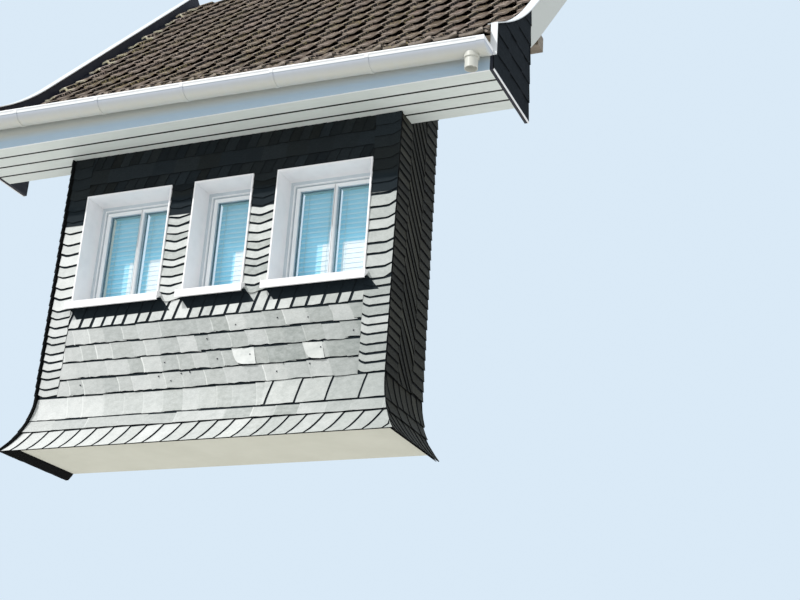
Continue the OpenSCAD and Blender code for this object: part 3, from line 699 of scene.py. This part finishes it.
def roof_run(y, depth):
    """Run up the roof at which a line at this depth has this Y"""
    low, high = -1.0, 9.0
    for _ in range(40):
        middle = (low + high) / 2
        if roof_point(middle, depth)[0] < y:
            low = middle
        else:
            high = middle
    return low


def roof_level(y, depth):
    """Level of a line at this depth below the tiles, at a given Y"""
    return roof_point(roof_run(y, depth), depth)[1]


# Slates

# Width over which the pale coat sets in after its painted shadow
FADE = 3 * MM
# Width of the painted highlight along a raised left edge, and the slate's width from which it shows
HIGHLIGHT_W = 9 * MM
NARROW = 80 * MM
# What is left of a cut slate is hung only above this width and height
SLIVER = 12 * MM


class Slater:
    """Hangs slates on one wall"""

    def __init__(self, wall, seed):
        self.wall = wall
        self.random = random.Random(seed)
        self.sheet = Sheet("slate_finish")
        self.sizes = bpy.context.scene.bay_sizes

    def slate(self, left, right, top, foot, skin, tone, raised="right", chips=2.5, span=(-math.inf, math.inf),
              cells=(4, 3), lift=(17, 29), side_drop=6.5, gap=0.0, band=7):
        """One slate. left and right give u for t from 0 at the top to 1 at the foot; top and foot give v for
        s from 0 at the left to 1 at the right. lift is the face's distance from the boards at top and foot.
        The part under the course above, a band below it and a side lap with a gap carry no skin and stay dark
        as painted shadow; a wide slate with a raised left edge gets a painted highlight along it. chips,
        lift, side_drop, gap and band are in mm"""
        draw, wall = self.random, self.wall
        tint = draw.random()
        turn = draw.uniform(-1.2, 1.2) * MM
        height = abs(top(0.5) - foot(0.5))
        width = abs(right(0.5) - left(0.5))
        covered = (self.sizes.slate_lap + band * MM * draw.uniform(0.6, 1.3)) / height
        hidden = (self.sizes.side_lap + gap * MM) / width
        ts = [0.0, covered, covered + FADE / height] + steps(covered + 2 * FADE / height, 1.0, 1 / cells[1])
        ss = steps(0.0, 1.0, 1 / cells[0])
        if gap and raised == "right":
            ss = [0.0, hidden] + steps(hidden + FADE / width, 1.0, 1 / cells[0])
        elif gap:
            ss = steps(0.0, 1 - hidden - FADE / width, 1 / cells[0]) + [1 - hidden, 1.0]
        elif raised == "left" and width > NARROW:
            ss = [0.0, HIGHLIGHT_W / width] + steps((HIGHLIGHT_W + FADE) / width, 1.0, 1 / cells[0])

        def point(t, s):
            u = left(t) + (right(t) - left(t)) * s
            v = top(s) + (foot(s) - top(s)) * t
            if t == 1.0:
                v += draw.uniform(-chips, chips) * MM
            if s in (0.0, 1.0) and t > covered:
                u += draw.uniform(-chips, chips) * 0.7 * MM
            v = max(v, wall.foot)
            low, high = wall.limits(v)
            u = min(max(u, low, span[0]), high, span[1])
            v = min(v, wall.ceiling(u))
            drop = side_drop * ((1 - s) if raised == "right" else s)
            d = (lift[0] + (lift[1] - lift[0]) * t - drop) * MM + turn * (s - 0.5) * 2
            d = min(d, max(COAT, lift[1] * MM))
            lapped = s <= ss[1] if raised == "right" else s >= ss[-2]
            # no skin under the course above and beside a raised joint: painted shadow
            in_painted_shadow = t <= ts[1] or gap and lapped
            # painted highlight along a raised left edge
            painted_light_and_chalk = 0.3 * tint * tint if raised == "left" and not gap and s <= ss[1] else 0.0
            return (wall.place(u, v, d), wall.place(u, v, d - self.sizes.slate_t),
                    (tone + painted_light_and_chalk, tint, 0.0 if in_painted_shadow else skin + painted_light_and_chalk, 1.0))

        plate = [[point(t, s) for s in ss] for t in ts]
        width = max((row[-1][0] - row[0][0]).length for row in plate)
        height = max((foot[0] - top[0]).length for top, foot in zip(plate[0], plate[-1]))
        if min(width, height) > SLIVER:
            self.sheet.grid(plate)

    def done(self, name, maker):
        """Makes the piece from all slates hung so far"""
        self.sheet.piece(name, (maker, slate_edge), "slate")

    def row(self, u0, u1, top, foot, pitch, lean, bow=1.0, raised="right", skin=1.0, tones=(0.0, 1.0),
            wave=4.0, spread=0.12, gap=10, **form):
        """One course of slates between u0 and u1. lean is how far a joint runs sideways from foot to top, bow
        above 1 bends the joint; raised names the side that lies over the neighbour; gap is the strip of
        painted shadow beside a joint; form goes on to each slate. pitch, lean and gap are in mm"""
        draw = self.random
        lap = self.sizes.side_lap
        pitch, lean = pitch * MM, lean * MM
        reach = abs(lean) + pitch
        u = u0 - reach - draw.uniform(0, pitch)
        joints = []
        while u < u1 + reach:
            joints.append(u)
            u += pitch * draw.uniform(1 - spread, 1 + spread)
        for one, two in zip(joints, joints[1:]):
            shift = draw.uniform(-wave, wave) * MM
            tilt = draw.uniform(-wave, wave) * MM * 0.6
            start, stop = (one - lap, two) if raised == "right" else (one, two + lap)
            self.slate(lambda t: start + lean * (1 - t) ** bow, lambda t: stop + lean * (1 - t) ** bow,
                       lambda s: top + self.sizes.slate_lap, lambda s: foot + shift + tilt * (s - 0.5),
                       skin, draw.uniform(*tones), raised, span=(u0, u1), gap=gap, **form)

    def stack(self, u0, u1, v0, v1, course, shape, skin=1.0, tones=(0.0, 1.0), jitter=8.0, lift=(17, 29)):
        """Small courses one above the other, one slate wide; shape gives the foot's rise for s from 0 to 1,
        with a number from 0 to 1 that is drawn for each course"""
        draw = self.random
        stops = steps(v0, v1, course)
        feet = [stops[0]] + [v + draw.uniform(-jitter, jitter) * MM for v in stops[1:-1]] + [stops[-1]]
        draws = [draw.random() for _ in feet]
        lap = self.sizes.slate_lap * 0.8

        def edge(s, i):
            return feet[i] + shape(s, feet[i], draws[i])

        for i in range(len(feet) - 1):
            self.slate(lambda t: u0, lambda t: u1, lambda s: edge(s, i + 1) + lap, lambda s: edge(s, i), skin,
                       draw.uniform(*tones), chips=1.6, cells=(8, 2), lift=lift, side_drop=0)


def pier_edge(s, v, by):
    """Foot of a pier slate: a sharp V, now and then nearly straight"""
    depth = (16 + 16 * min(1.0, 2 * by)) * MM
    return depth * abs(s - 0.45) / 0.55


# Level above which the right corner's slates curve up at the corner
CURL_Z = 1.05


def right_edge(s, v, by):
    """Foot of a slate at the right corner: curved up at the corner, or low down hooked at the inner end"""
    if v > CURL_Z - FLARE_Z:
        return (24 + 16 * by) * MM * smooth(s, 0.68, 1.06)
    return 10 * MM * s + (22 + 14 * by) * MM * max(0.0, 1 - s / 0.2)


def left_edge(s, v, by):
    """Foot of a slate at the left corner: high at the corner, lowest near the middle"""
    return (24 + 14 * by) * MM * max(0.0, 1 - s / 0.42) + 15 * MM * max(0.0, (s - 0.42) / 0.58)


def level_edge(s, v, by):
    """Foot of a slate at a side wall's ends: a slight fall to the back"""
    return (10 + 12 * by) * MM * (1 - s)


def steep_edge(s, v, by):
    """Foot of a slate in the middle of a side wall: a steep fall to the back"""
    return (310 + 50 * by) * MM * (1 - s) ** (0.85 + 0.3 * by)


# How far the felt stands out from the boards
FELT_OUT = 5 * MM


def backing(wall, name, parts, replaces):
    """Felted boards behind the slates, as (u0, u1, v0, v1) parts"""
    sheet = Sheet("slate_finish")
    for u0, u1, v0, v1 in parts:
        cells = []
        for v in steps(v0, v1, 60 * MM):
            low, high = wall.limits(v)
            line = [min(max(u, low), high) for u in steps(u0, u1, 400 * MM)]
            spots = [(u, min(v, wall.ceiling(u))) for u in line]
            cells.append([(wall.place(*spot, FELT_OUT), wall.place(*spot, 0), PLAIN) for spot in spots])
        sheet.grid(cells)
    sheet.piece(name, (roofing_felt, roofing_felt), "slate", (replaces,))


# Where the small slates of the skirt's upper course meet the large ones, and how far they overlap
SPLIT_X = 0.62
SPLIT_LAP = 40 * MM
# Run along the skirt at the foot of its two upper courses and of the felt behind all three
LARGE_FOOT = -0.39 * SKIRT_RUN
BAND_FOOT = -0.60 * SKIRT_RUN
FELT_FOOT = -0.985 * SKIRT_RUN
# Height of the rows over the windows, and height and number of the field's courses under the sills
ROW_H = 138 * MM
FIELD_H = 150 * MM
FIELD_N = 4
# Left edge and width of the two repair slates, and the number of nails drawn at random
REPAIRS = ((0.30, 0.19), (0.93, 0.16))
NAIL_N = 16


class BAY_OT_front_slates(bpy.types.Operator):
    """Hang the slates of the window wall: rows, piers, corner strips and field"""
    bl_idname = "bay.front_slates"
    bl_label = "Front slates"

    def execute(self, context):
        sizes = context.scene.bay_sizes
        wall = FrontWall()
        top = SOFFIT_Z - FLARE_Z
        head = HEAD_Z - FLARE_Z
        field_top = FIELD_N * FIELD_H
        row_top = SILL_FOOT_Z - FLARE_Z + 10 * MM
        inner = EDGE_X

        rows = Slater(wall, sizes.seed)
        rows.row(-inner, inner, top, top - ROW_H, 100, 62, 1.2, tones=(0.0, 0.8))
        rows.row(-inner, inner, top - ROW_H, top - 2 * ROW_H, 215, 20, raised="left",
                 tones=(0.3, 0.9), side_drop=3, gap=0.0)
        rows.row(-inner, inner, top - 2 * ROW_H, head - 6 * MM, 105, 66, 1.2, tones=(0.0, 0.8))
        rows.row(-inner, inner, row_top, field_top, 124, 70, 1.15, tones=(0.35, 1.0),
                 gap=24, spread=0.16)
        for i in range(FIELD_N):
            course = field_top - i * FIELD_H, field_top - (i + 1) * FIELD_H
            rows.row(-inner, inner, *course, 168, -95, 1.3, "left", 0.84, (0.0, 0.85),
                     side_drop=4, spread=0.3, gap=0.0, wave=6, chips=5, band=15)
        self.rounded(rows, field_top)
        rows.done("front_slates", slate_painted_light)

        corners = Slater(wall, sizes.seed + 1)
        for low, high, shape in ((inner, HALF_W, right_edge), (-HALF_W, -inner, left_edge)):
            corners.stack(low, high, row_top, top, sizes.strip_course * 1.38, shape, 1.0, (0.4, 1.0))
            corners.stack(low, high, 0.0, row_top, sizes.strip_course, shape, 0.95, (0.2, 0.9))
        for one, two in (("left", "middle"), ("middle", "right")):
            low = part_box("lining_" + one)[1].x
            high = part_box("lining_" + two)[0].x
            corners.stack(low, high, row_top - 20 * MM, head, sizes.pier_course, pier_edge, 1.0, (0.0, 1.0))
        corners.done("corner_and_pier_slates", slate_painted_light)

        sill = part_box("lining_left")[0].z - FLARE_Z
        parts = [(-HALF_W, HALF_W, 0.0, sill), (-HALF_W, HALF_W, head, top)]
        edges = [-HALF_W]
        for name in SIDES:
            edges += [corner.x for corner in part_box("lining_" + name)]
        edges.append(HALF_W)
        for low, high in zip(edges[0::2], edges[1::2]):
            parts.append((low, high, sill, head))
        backing(wall, "front_felt", parts, "slate_front")
        return {"FINISHED"}

    def rounded(self, rows, field_top):
        """Two pale repair slates with a rounded corner, and the heads of clout nails in the field"""
        foot = field_top - 3 * FIELD_H
        for at, width in REPAIRS:
            rows.slate(lambda t: at - 0.075 * (1 - t) + 0.12 * width * t ** 6,
                       lambda t: at + width - 0.06 * (1 - t),
                       lambda s: foot + FIELD_H + rows.sizes.slate_lap,
                       lambda s: foot - 0.006 + 0.02 * (1 - s) ** 4, 1.2, 1.1, "left", 1.0,
                       cells=(8, 8), lift=(12, 36), side_drop=0)
        nails = Sheet("slate_finish")
        spots = [(0.42, foot + 0.075), (1.04, foot + 0.085)]
        for _ in range(NAIL_N):
            spots.append((rows.random.uniform(-EDGE_X, EDGE_X), rows.random.uniform(0.05, field_top)))
        for u, v in spots:
            low, high = rows.wall.place(u, v, 20 * MM), rows.wall.place(u + 8 * MM, v + 8 * MM, 31 * MM)
            nails.box((low.x, high.y, low.z), (high.x, low.y, high.z))
        nails.piece("slate_nails", (lead_sheet, lead_sheet), "slate")


# The steep courses start this far below the flare, so that their slanting feet fill the wall down to it
STEEP_START = -0.35


class BAY_OT_side_slates(bpy.types.Operator):
    """Hang the slates of both side walls"""
    bl_idname = "bay.side_slates"
    bl_label = "Side slates"

    def execute(self, context):
        sizes = context.scene.bay_sizes
        for side, name in HANDS:
            wall = SideWall(side)
            wall.foot = -6 * MM
            depth = -FRONT_Y
            slates = Slater(wall, sizes.seed + 3 + side)
            top = SOFFIT_Z - FLARE_Z
            peak = wall.ceiling(depth)
            fore, rear = 270 * MM, depth - 240 * MM
            ends = {"shape": level_edge, "tones": (0.0, 0.8), "jitter": 5}
            slates.stack(-OVERHANG * MM, fore, 0.0, top, sizes.strip_course, **ends)
            slates.stack(rear, depth, 0.0, peak, sizes.strip_course * 1.2, **ends)
            slates.stack(fore - 10 * MM, rear + 10 * MM, STEEP_START, peak, 112 * MM, steep_edge,
                         jitter=22, lift=(17, 28))
            slates.done("side_slates_" + name, side_slate_painted_shade)
            backing(wall, "side_felt_" + name, [(0, depth, 0.0, peak)], "slate_" + name)
        return {"FINISHED"}


class BAY_OT_skirt_slates(bpy.types.Operator):
    """Hang the three courses of the flared skirt on all three sides"""
    bl_idname = "bay.skirt_slates"
    bl_label = "Skirt slates"

    def execute(self, context):
        sizes = context.scene.bay_sizes
        wall = FrontWall()
        low, high = wall.limits(-SKIRT_RUN)
        front = Slater(wall, sizes.seed + 5)
        front.row(low, SPLIT_X, 0.0, LARGE_FOOT, 175, -55, 1.3, "left", 0.95, (0.2, 0.9), side_drop=4,
                  spread=0.3, cells=(4, 4), lift=(15, 26), gap=0.0, band=12)
        front.row(SPLIT_X - SPLIT_LAP, high, 0.0, LARGE_FOOT, 270, 62, 1.6, "right", 0.95, (0.4, 0.9),
                  spread=0.06, cells=(5, 5), lift=(21, 32), gap=14)
        front.row(low, high, LARGE_FOOT, BAND_FOOT, 250, 6, 1.0, "left", 0.9, (0.1, 0.85),
                  side_drop=3, spread=0.3, cells=(5, 3), gap=0.0, band=12)
        front.row(low, high, BAND_FOOT, -SKIRT_RUN, 157, 128, 0.85, "right", 0.97, (0.4, 0.95),
                  wave=2, spread=0.06, cells=(4, 5), side_drop=8, gap=13)
        front.done("skirt_slates_front", slate_painted_light)
        backing(wall, "skirt_felt_front", [(low, high, FELT_FOOT, 0.0)], "skirt_front")
        for side, name in HANDS:
            wall = SideWall(side)
            low, high = wall.limits(-SKIRT_RUN)
            slates = Slater(wall, sizes.seed + 8 + side)
            form = {"raised": "left" if side > 0 else "right", "tones": (0.3, 1.0)}
            slates.row(low, high, 0.0, LARGE_FOOT, 125, -60, cells=(2, 4), gap=16, **form)
            slates.row(low, high, LARGE_FOOT, BAND_FOOT, 210, -20, cells=(2, 3), **form)
            slates.row(low, high, BAND_FOOT, -SKIRT_RUN, 120, -120, cells=(2, 5), gap=18, **form)
            slates.done("skirt_slates_" + name, side_slate_painted_shade)
            backing(wall, "skirt_felt_" + name, [(low, high, FELT_FOOT, 0.0)], "skirt_" + name)
        return {"FINISHED"}


# Width of the metal channel beside the left closing board, in mm
FLASHING = 62

# Thickness of a tile's plate and height of its roll
TILE_PLATE = 17 * MM
ROLL_H = 25 * MM

# Share of a tile's length that counts as the edge of its foot, which carries a painted highlight
FOOT_EDGE = 0.1

# What a tile's point carries as its painted-light value where it is painted black as shade, on the roll's
# steep side and under the next tile's foot, and where it is pale with mortar chalk
ROLL_SHADE = -1.0
CHALK = 2.0

# Cross section of a tile from its left edge to the foot of its roll, as shares of the width and heights
# above the flat in mm; the roll is steep on the right
TILE_SHAPE = ((0.0, -3), (0.25, -2), (0.5, -1), (0.6, 4), (0.7, 13), (0.8, 21), (0.87, 25), (0.92, 24),
              (0.96, 16), (0.985, 4), (1.0, -6))

# From the roof's right end to the nearest roll of the first course
ROLL_INSET = 9.6 * MM


def tile_height(q):
    """Height of a tile's face at a share of its width"""
    for (q0, h0), (q1, h1) in zip(TILE_SHAPE, TILE_SHAPE[1:]):
        if q <= q1:
            return (h0 + (h1 - h0) * max(0.0, q - q0) / (q1 - q0)) * MM
    return TILE_SHAPE[-1][1] * MM


class BAY_OT_roof_tiles(bpy.types.Operator):
    """Lay the interlocking tiles in third bond up the bell-cast roof"""
    bl_idname = "bay.roof_tiles"
    bl_label = "Roof tiles"

    def execute(self, context):
        sizes = context.scene.bay_sizes
        draw = random.Random(sizes.seed + 20)
        courses = round(roof_run(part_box("roof_tiles")[1].y, TILE_T) / TILE_GAUGE)
        sheet = Sheet("tile_finish")
        for i in range(courses):
            edge = HALF_ROOF - ROLL_INSET - (i % 3) * sizes.tile_w / 3 + sizes.tile_w
            while edge > -HALF_ROOF + (FLASHING + 30) * MM:
                if edge - sizes.tile_w < HALF_ROOF - 5 * MM:
                    self.tile(sheet, draw, edge, sizes.tile_w, i)
                edge -= sizes.tile_w
        sheet.piece("tile_courses", (clay_tile, clay_tile), "tile", ("roof_tiles",))
        self.flashing(courses)
        return {"FINISHED"}

    def flashing(self, courses):
        """Dark metal channel between the left closing board and the tiles"""
        sheet = Sheet("tile_finish")
        cells = []
        for run in steps(5 * MM, courses * TILE_GAUGE - 5 * MM, 100 * MM):
            cells.append([(Vector((x * MM - HALF_ROOF, *roof_point(run, 30 * MM))),
                           Vector((x * MM - HALF_ROOF, *roof_point(run, 40 * MM))), PLAIN)
                          for x in (1, FLASHING + 60)])
        sheet.grid(cells)
        sheet.piece("verge_flashing", (lead_sheet, lead_sheet), "cap_metal")

    def tile(self, sheet, draw, edge, width, course):
        """One tile with its roll at the right edge; hollow under the roll, with a shadow gap at the foot"""
        low = Vector(roof_point(course * TILE_GAUGE, 0))
        top = Vector(roof_point((course + 1) * TILE_GAUGE, TILE_STEP))
        way = top - low
        out = Vector((-way.y, way.x)).normalized()
        cut = -HALF_ROOF + (FLASHING + draw.uniform(-10, 10)) * MM
        first = max(0.0, (cut - edge) / width + 1)
        last = min(1.0, (HALF_ROOF - edge) / width + 1)
        stops = [first] + [q for q, _ in TILE_SHAPE if first < q < last] + [last]
        tone = draw.random()
        moss = draw.uniform(0.15, 1.0)
        if first > 0.0:
            moss = 1.0
        sink = draw.uniform(0, 2.5) * MM
        jog = draw.uniform(-2.0, 2.0) * MM / way.length

        def point(t, q):
            face = tile_height(q)
            rise = face if t <= 1.0 else min(face, 0.0)
            spot = low + way * max(0.0, t + jog) + out * (rise - sink)
            base = low + way * max(0.0, t + jog) + out * (rise - TILE_PLATE - sink)
            x = min(max(edge - width + q * width, cut), HALF_ROOF)
            # painted highlight on the roll and along the foot, black painted shade on the roll's steep right
            # side and under the next foot, and mortar chalk near the left verge
            painted_light_and_chalk = max(0.0, face) / ROLL_H * (0.9 if t < FOOT_EDGE else 0.6 if t < 0.5 else 0.3)
            if t < FOOT_EDGE:
                painted_light_and_chalk = max(painted_light_and_chalk, 0.6)
            if q > 0.95 or t > 0.99:
                painted_light_and_chalk = ROLL_SHADE
            if t < FOOT_EDGE and x < cut + 130 * MM:
                painted_light_and_chalk = CHALK
            return Vector((x, *spot)), Vector((x, *base)), (tone, moss, painted_light_and_chalk, 1.0)

        sheet.grid([[point(t, q) for q in stops] for t in (0.0, 0.07, 0.16, 0.93, 1.0, 1.15)])


class BAY_OT_walls(bpy.types.Operator):
    """Finish the walls, the floor and the timbers"""
    bl_idname = "bay.walls"
    bl_label = "Walls and timbers"

    def execute(self, context):
        dress(smooth_render, ("underside_panel", "wall_apron", "wall_head", "post_left", "pier_left",
                              "pier_right", "post_right", "cheek_left", "cheek_right", "ceiling"))
        dress(planed_spruce, ("ledger", "floor_joists", "front_beam", "floor_deck", "skirt_blocks",
                              "soffit_bearers", "rafters", "wall_plate", "roof_boarding", "battens"))
        return {"FINISHED"}


def ring(sheet, x, z, profile):
    """A closed frame around the opening x[0]..x[1], z[0]..z[1]; profile gives the section's corners as
    the distance outwards from the opening and Y"""
    first = len(sheet.points)
    count = len(profile)
    for corner in ((0, 0), (1, 0), (1, 1), (0, 1)):
        for away, y in profile:
            px = x[corner[0]] + away * (1 if corner[0] else -1)
            pz = z[corner[1]] + away * (1 if corner[1] else -1)
            sheet.points.append(Vector((px, y, pz)))
            sheet.values.append(PLAIN)
    for i in range(4):
        for j in range(count):
            one, two = first + i * count, first + (i + 1) % 4 * count
            sheet.add_face((one + j, one + (j + 1) % count, two + (j + 1) % count, two + j), 0)


def square(width, front, back):
    """Section of a square bar for ring"""
    return (0, back), (0, front), (width, front), (width, back)


# Width of the glazing bar, and how deep a pane's edge sits in its frame
BAR_W = 40 * MM
REBATE = 8 * MM


def panes():
    """Openings of the five panes as (x, z) pairs"""
    found = []
    for name in SIDES:
        low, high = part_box("glass_" + name)
        z = (low.z + REBATE, high.z - REBATE)
        if name == "middle":
            found.append(((low.x + REBATE, high.x - REBATE), z))
        else:
            middle = (low.x + high.x) / 2
            found.append(((low.x + REBATE, middle - BAR_W / 2), z))
            found.append(((middle + BAR_W / 2, high.x - REBATE), z))
    return found


class BAY_OT_windows(bpy.types.Operator):
    """Finish the linings, frames, panes and sills and set their beads, seals and the dark gasket strips of
    painted shade inside the sashes
    """
    bl_idname = "bay.windows"
    bl_label = "Windows"

    def execute(self, context):
        dress(coated_aluminium, ["lining_" + name for name in SIDES], 2 * MM)
        dress(extruded_pvc, ["frame_" + name for name in SIDES], 2 * MM)
        dress(float_glass, ["glass_" + name for name in SIDES])
        dress(coated_aluminium, ["sill_" + name for name in SIDES], 1.2 * MM)
        beads, shade_rings, seals = (Sheet("pvc_finish") for _ in SIDES)
        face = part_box("frame_left")[0].y
        pane_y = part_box("glass_left")[0].y
        bead = ((0, pane_y - 1 * MM), (14 * MM, face - 3 * MM), (22 * MM, face - 3 * MM),
                (22 * MM, pane_y - 1 * MM))
        lip = ((0, face + 2 * MM), (0, face - 5 * MM), (5 * MM, face - 5 * MM), (9 * MM, face + 2 * MM))
        for x, z in panes():
            ring(beads, x, z, bead)
            # dark strip behind the glass, widest at the left: painted shade inside the sash
            ring(shade_rings, (x[0] + 12 * MM, x[1] - 3 * MM), (z[0] + 2 * MM, z[1] - 5 * MM),
                 square(30 * MM, pane_y + 25 * MM, pane_y + 31 * MM))
        for name in SIDES:
            low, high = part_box("frame_" + name)
            for sheet, inset, foot, section in (
                    (beads, 52 * MM, 30 * MM, lip),
                    (seals, 16 * MM, 40 * MM, square(7 * MM, face - 2 * MM, face + 2 * MM)),
                    (seals, 60 * MM, 40 * MM, square(8 * MM, face - 1 * MM, face + 12 * MM))):
                ring(sheet, (low.x + inset, high.x - inset), (low.z + foot, high.z - inset), section)
        beads.piece("glazing_beads", (bead_pvc,), "white_trim")
        seals.piece("frame_seals", (pale_seal,), "white_trim")
        shade_rings.piece("glazing_shade_strips", (shade_gasket,), "blind")
        return {"FINISHED"}


class BAY_OT_blinds(bpy.types.Operator):
    """Hang the blinds behind the panes: rails, slats and ladder cords"""
    bl_idname = "bay.blinds"
    bl_label = "Blinds"

    def execute(self, context):
        pitch = context.scene.bay_sizes.slat_pitch
        low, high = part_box("blinds")
        middle = (low.y + high.y) / 2
        slats = Sheet("slat_finish")
        rails = Sheet("slat_finish")
        for x, z in panes():
            x0, x1 = x[0] + 8 * MM, x[1] + 4 * MM
            top = z[1] - 6 * MM
            rails.box((x0, low.y + 4 * MM, top), (x1, high.y - 2 * MM, top + 34 * MM))
            level = top - 6 * MM
            while level > z[0] + pitch * 0.3:
                up = (level - z[0]) / (z[1] - z[0])
                self.slat(slats, x0, x1, middle, level, pitch, (up * up * 0.5, 0.35 + up * 0.35))
                level -= pitch
            rails.box((x0, middle - 12 * MM, low.z + 3 * MM), (x1, middle + 12 * MM, low.z + 16 * MM))
            for at in (x0 + 55 * MM, x1 - 55 * MM):
                rails.box((at, middle - 15 * MM, low.z + 10 * MM),
                          (at + 2.5 * MM, middle - 13.5 * MM, top + 5 * MM))
        slats.piece("blind_slats", (slat_lacquer, slat_lacquer), "blind", ("blinds",))
        rails.piece("blind_rails", (rail_lacquer, rail_lacquer), "blind")
        return {"FINISHED"}

    def slat(self, sheet, x0, x1, y, top, pitch, shares):
        """One slat, crowned and nearly shut: its lower edge stands in front of the next slat; shares tell how
        pale its two ends are"""
        section = ((3, 0.2), (2, -0.15), (0, -0.6), (-1, -0.85), (-2, -1.04))
        back = Vector((0, 0.9 * MM, -0.9 * MM))
        cells = []
        for i, (dy, dz) in enumerate(section):
            row = []
            for x, glow in zip((x0, x1), shares):
                spot = Vector((x, y + dy * MM, top + dz * pitch))
                # painted highlight on the slat's lower lip
                lip = 1.0 if i > 2 else 0.0
                row.append((spot, spot + back, (lip, glow, 0, 1)))
            cells.append(row)
        sheet.grid(cells)


class BAY_OT_eaves(bpy.types.Operator):
    """Finish the soffit, the fascia, the gutter, the closing boards and the caps"""
    bl_idname = "bay.eaves"
    bl_label = "Eaves"

    def execute(self, context):
        sizes = context.scene.bay_sizes
        dress(painted_boards, ("soffit_boards",))
        dress(painted_boards, ("soffit_upright",), 2 * MM)
        dress(fascia_paint, ("fascia", "verge_board_right"), 2 * MM)
        dress(gutter_pvc, ("gutter", "gutter_outlet", "gutter_ends", "gutter_brackets"))
        dress(coated_sheet, ("verge_caps",))
        dress(lead_sheet, ("closing_board_left", "closing_board_right"))
        strips = Sheet("pvc_finish")
        for side, name in HANDS:
            board = ClosingBoard(side)
            slates = Slater(board, sizes.seed + 30 + side)
            height = board.ceiling(board.depth)
            course = 185 * MM
            for i in range(math.ceil(height / course)):
                slates.row(0.0, board.depth, (i + 1) * course, i * course, 310, 60, lift=(16, 24),
                           side_drop=5, wave=9)
            slates.done("closing_slates_" + name, board_slate)
            low, high = sorted((side * (board.face + 4 * MM), side * (board.face + 14 * MM)))
            strips.box((low, board.front, SOFFIT_Z - 4 * MM),
                       (high, board.front + board.depth, SOFFIT_Z + 6 * MM))
        strips.piece("closing_strips", (bead_pvc, bead_pvc), "white_trim")
        return {"FINISHED"}


# Level of the pale floor and half its width
FLOOR_Z = -4.6
FLOOR_HALF = 60
# The key light's direction and the angle that it spans
KEY_WAY = (0.78, 1.0, -1.25)
KEY_ANGLE = math.radians(0.8)
# Camera: focal length in mm, place, and turns from the wall's front in the order in which they are made
LENS = 62.27
CAMERA_PLACE = (5.674, -9.803, -3.004)
CAMERA_TURNS = (("Z", 23.863), ("X", 21.669), ("Y", -3.645), ("X", 90))


class BAY_OT_stage(bpy.types.Operator):
    """Set the floor, the light and the camera"""
    bl_idname = "bay.stage"
    bl_label = "Stage"

    def execute(self, context):
        light = context.scene.bay_light
        self.floor()
        self.lamps(light)
        self.camera()
        context.scene.view_settings.view_transform = "Standard"
        return {"FINISHED"}

    def floor(self):
        """Pale floor well below the bay, out of the camera's view"""
        mesh = bpy.data.meshes.new("floor")
        around = ((-1, -1), (1, -1), (1, 1), (-1, 1))
        corners = [(x * FLOOR_HALF, y * FLOOR_HALF, FLOOR_Z) for x, y in around]
        mesh.from_pydata(corners, [], [(0, 1, 2, 3)])
        mesh.materials.append(finish(studio_floor))
        plane = put("floor", mesh)

    def lamps(self, light):
        """One soft key light from the upper left and an even fill from all round"""
        lamp = bpy.data.lights.new("key", "SUN")
        lamp.energy = light.sun
        lamp.angle = KEY_ANGLE
        lamp.color = (1.0, 0.98, 0.95)
        key = put("key", lamp)
        key.rotation_mode = "QUATERNION"
        key.rotation_quaternion = Vector(KEY_WAY).to_track_quat("-Z", "Y")
        world = bpy.data.worlds.new("studio")
        bpy.context.scene.world = world
        world.use_nodes = True
        tree = world.node_tree
        rays = add_node(tree, "ShaderNodeLightPath")
        seen = rays["Is Camera Ray"]
        for name in ("Is Glossy Ray", "Is Transmission Ray"):
            seen = add_node(tree, "ShaderNodeMath", {0: seen, 1: rays[name]}, operation="MAXIMUM")[0]
        strength = add_node(tree, "ShaderNodeMapRange", {"Value": seen, "To Min": light.sky, "To Max": 1.0})
        ground = tree.nodes["Background"]
        colour = coats(tree, "#eef2f6", (tuple(light.backdrop) + (1.0,), 1.0, seen))
        tree.links.new(colour, ground.inputs["Color"])
        tree.links.new(strength[0], ground.inputs["Strength"])

    def camera(self):
        """The photograph's place and angle, below the bay and to its right"""
        lens = bpy.data.cameras.new("camera")
        lens.sensor_width = 36
        lens.lens = LENS
        lens.clip_end = 200
        camera = put("camera", lens)
        aim = Matrix.Translation(CAMERA_PLACE)
        for axis, degrees in CAMERA_TURNS:
            aim = aim @ Matrix.Rotation(math.radians(degrees), 4, axis)
        camera.matrix_world = aim
        bpy.context.scene.camera = camera


OPERATORS = (BAY_OT_walls, BAY_OT_front_slates, BAY_OT_side_slates, BAY_OT_skirt_slates, BAY_OT_windows,
             BAY_OT_blinds, BAY_OT_eaves, BAY_OT_roof_tiles, BAY_OT_stage)


class BAY_PT_panel(bpy.types.Panel):
    """Sizes, light and the steps of the bay"""
    bl_idname = "BAY_PT_panel"
    bl_label = "Box Bay"
    bl_space_type = "VIEW_3D"
    bl_region_type = "UI"
    bl_category = "Bay"

    def draw(self, context):
        for group in (context.scene.bay_sizes, context.scene.bay_light):
            for name in group.bl_rna.properties.keys():
                if name not in ("rna_type", "name"):
                    self.layout.prop(group, name)
        for operator in OPERATORS:
            self.layout.operator(operator.bl_idname)


CLASSES = (BaySizes, BayLight) + OPERATORS + (BAY_PT_panel,)


def register():
    for item in CLASSES:
        bpy.utils.register_class(item)
    bpy.types.Scene.bay_sizes = PointerProperty(type=BaySizes)
    bpy.types.Scene.bay_light = PointerProperty(type=BayLight)


def unregister():
    del bpy.types.Scene.bay_light
    del bpy.types.Scene.bay_sizes
    for item in reversed(CLASSES):
        bpy.utils.unregister_class(item)


def main():
    register()
    for operator in OPERATORS:
        group, name = operator.bl_idname.split(".")
        getattr(getattr(bpy.ops, group), name)()


if __name__ == "__main__":
    main()
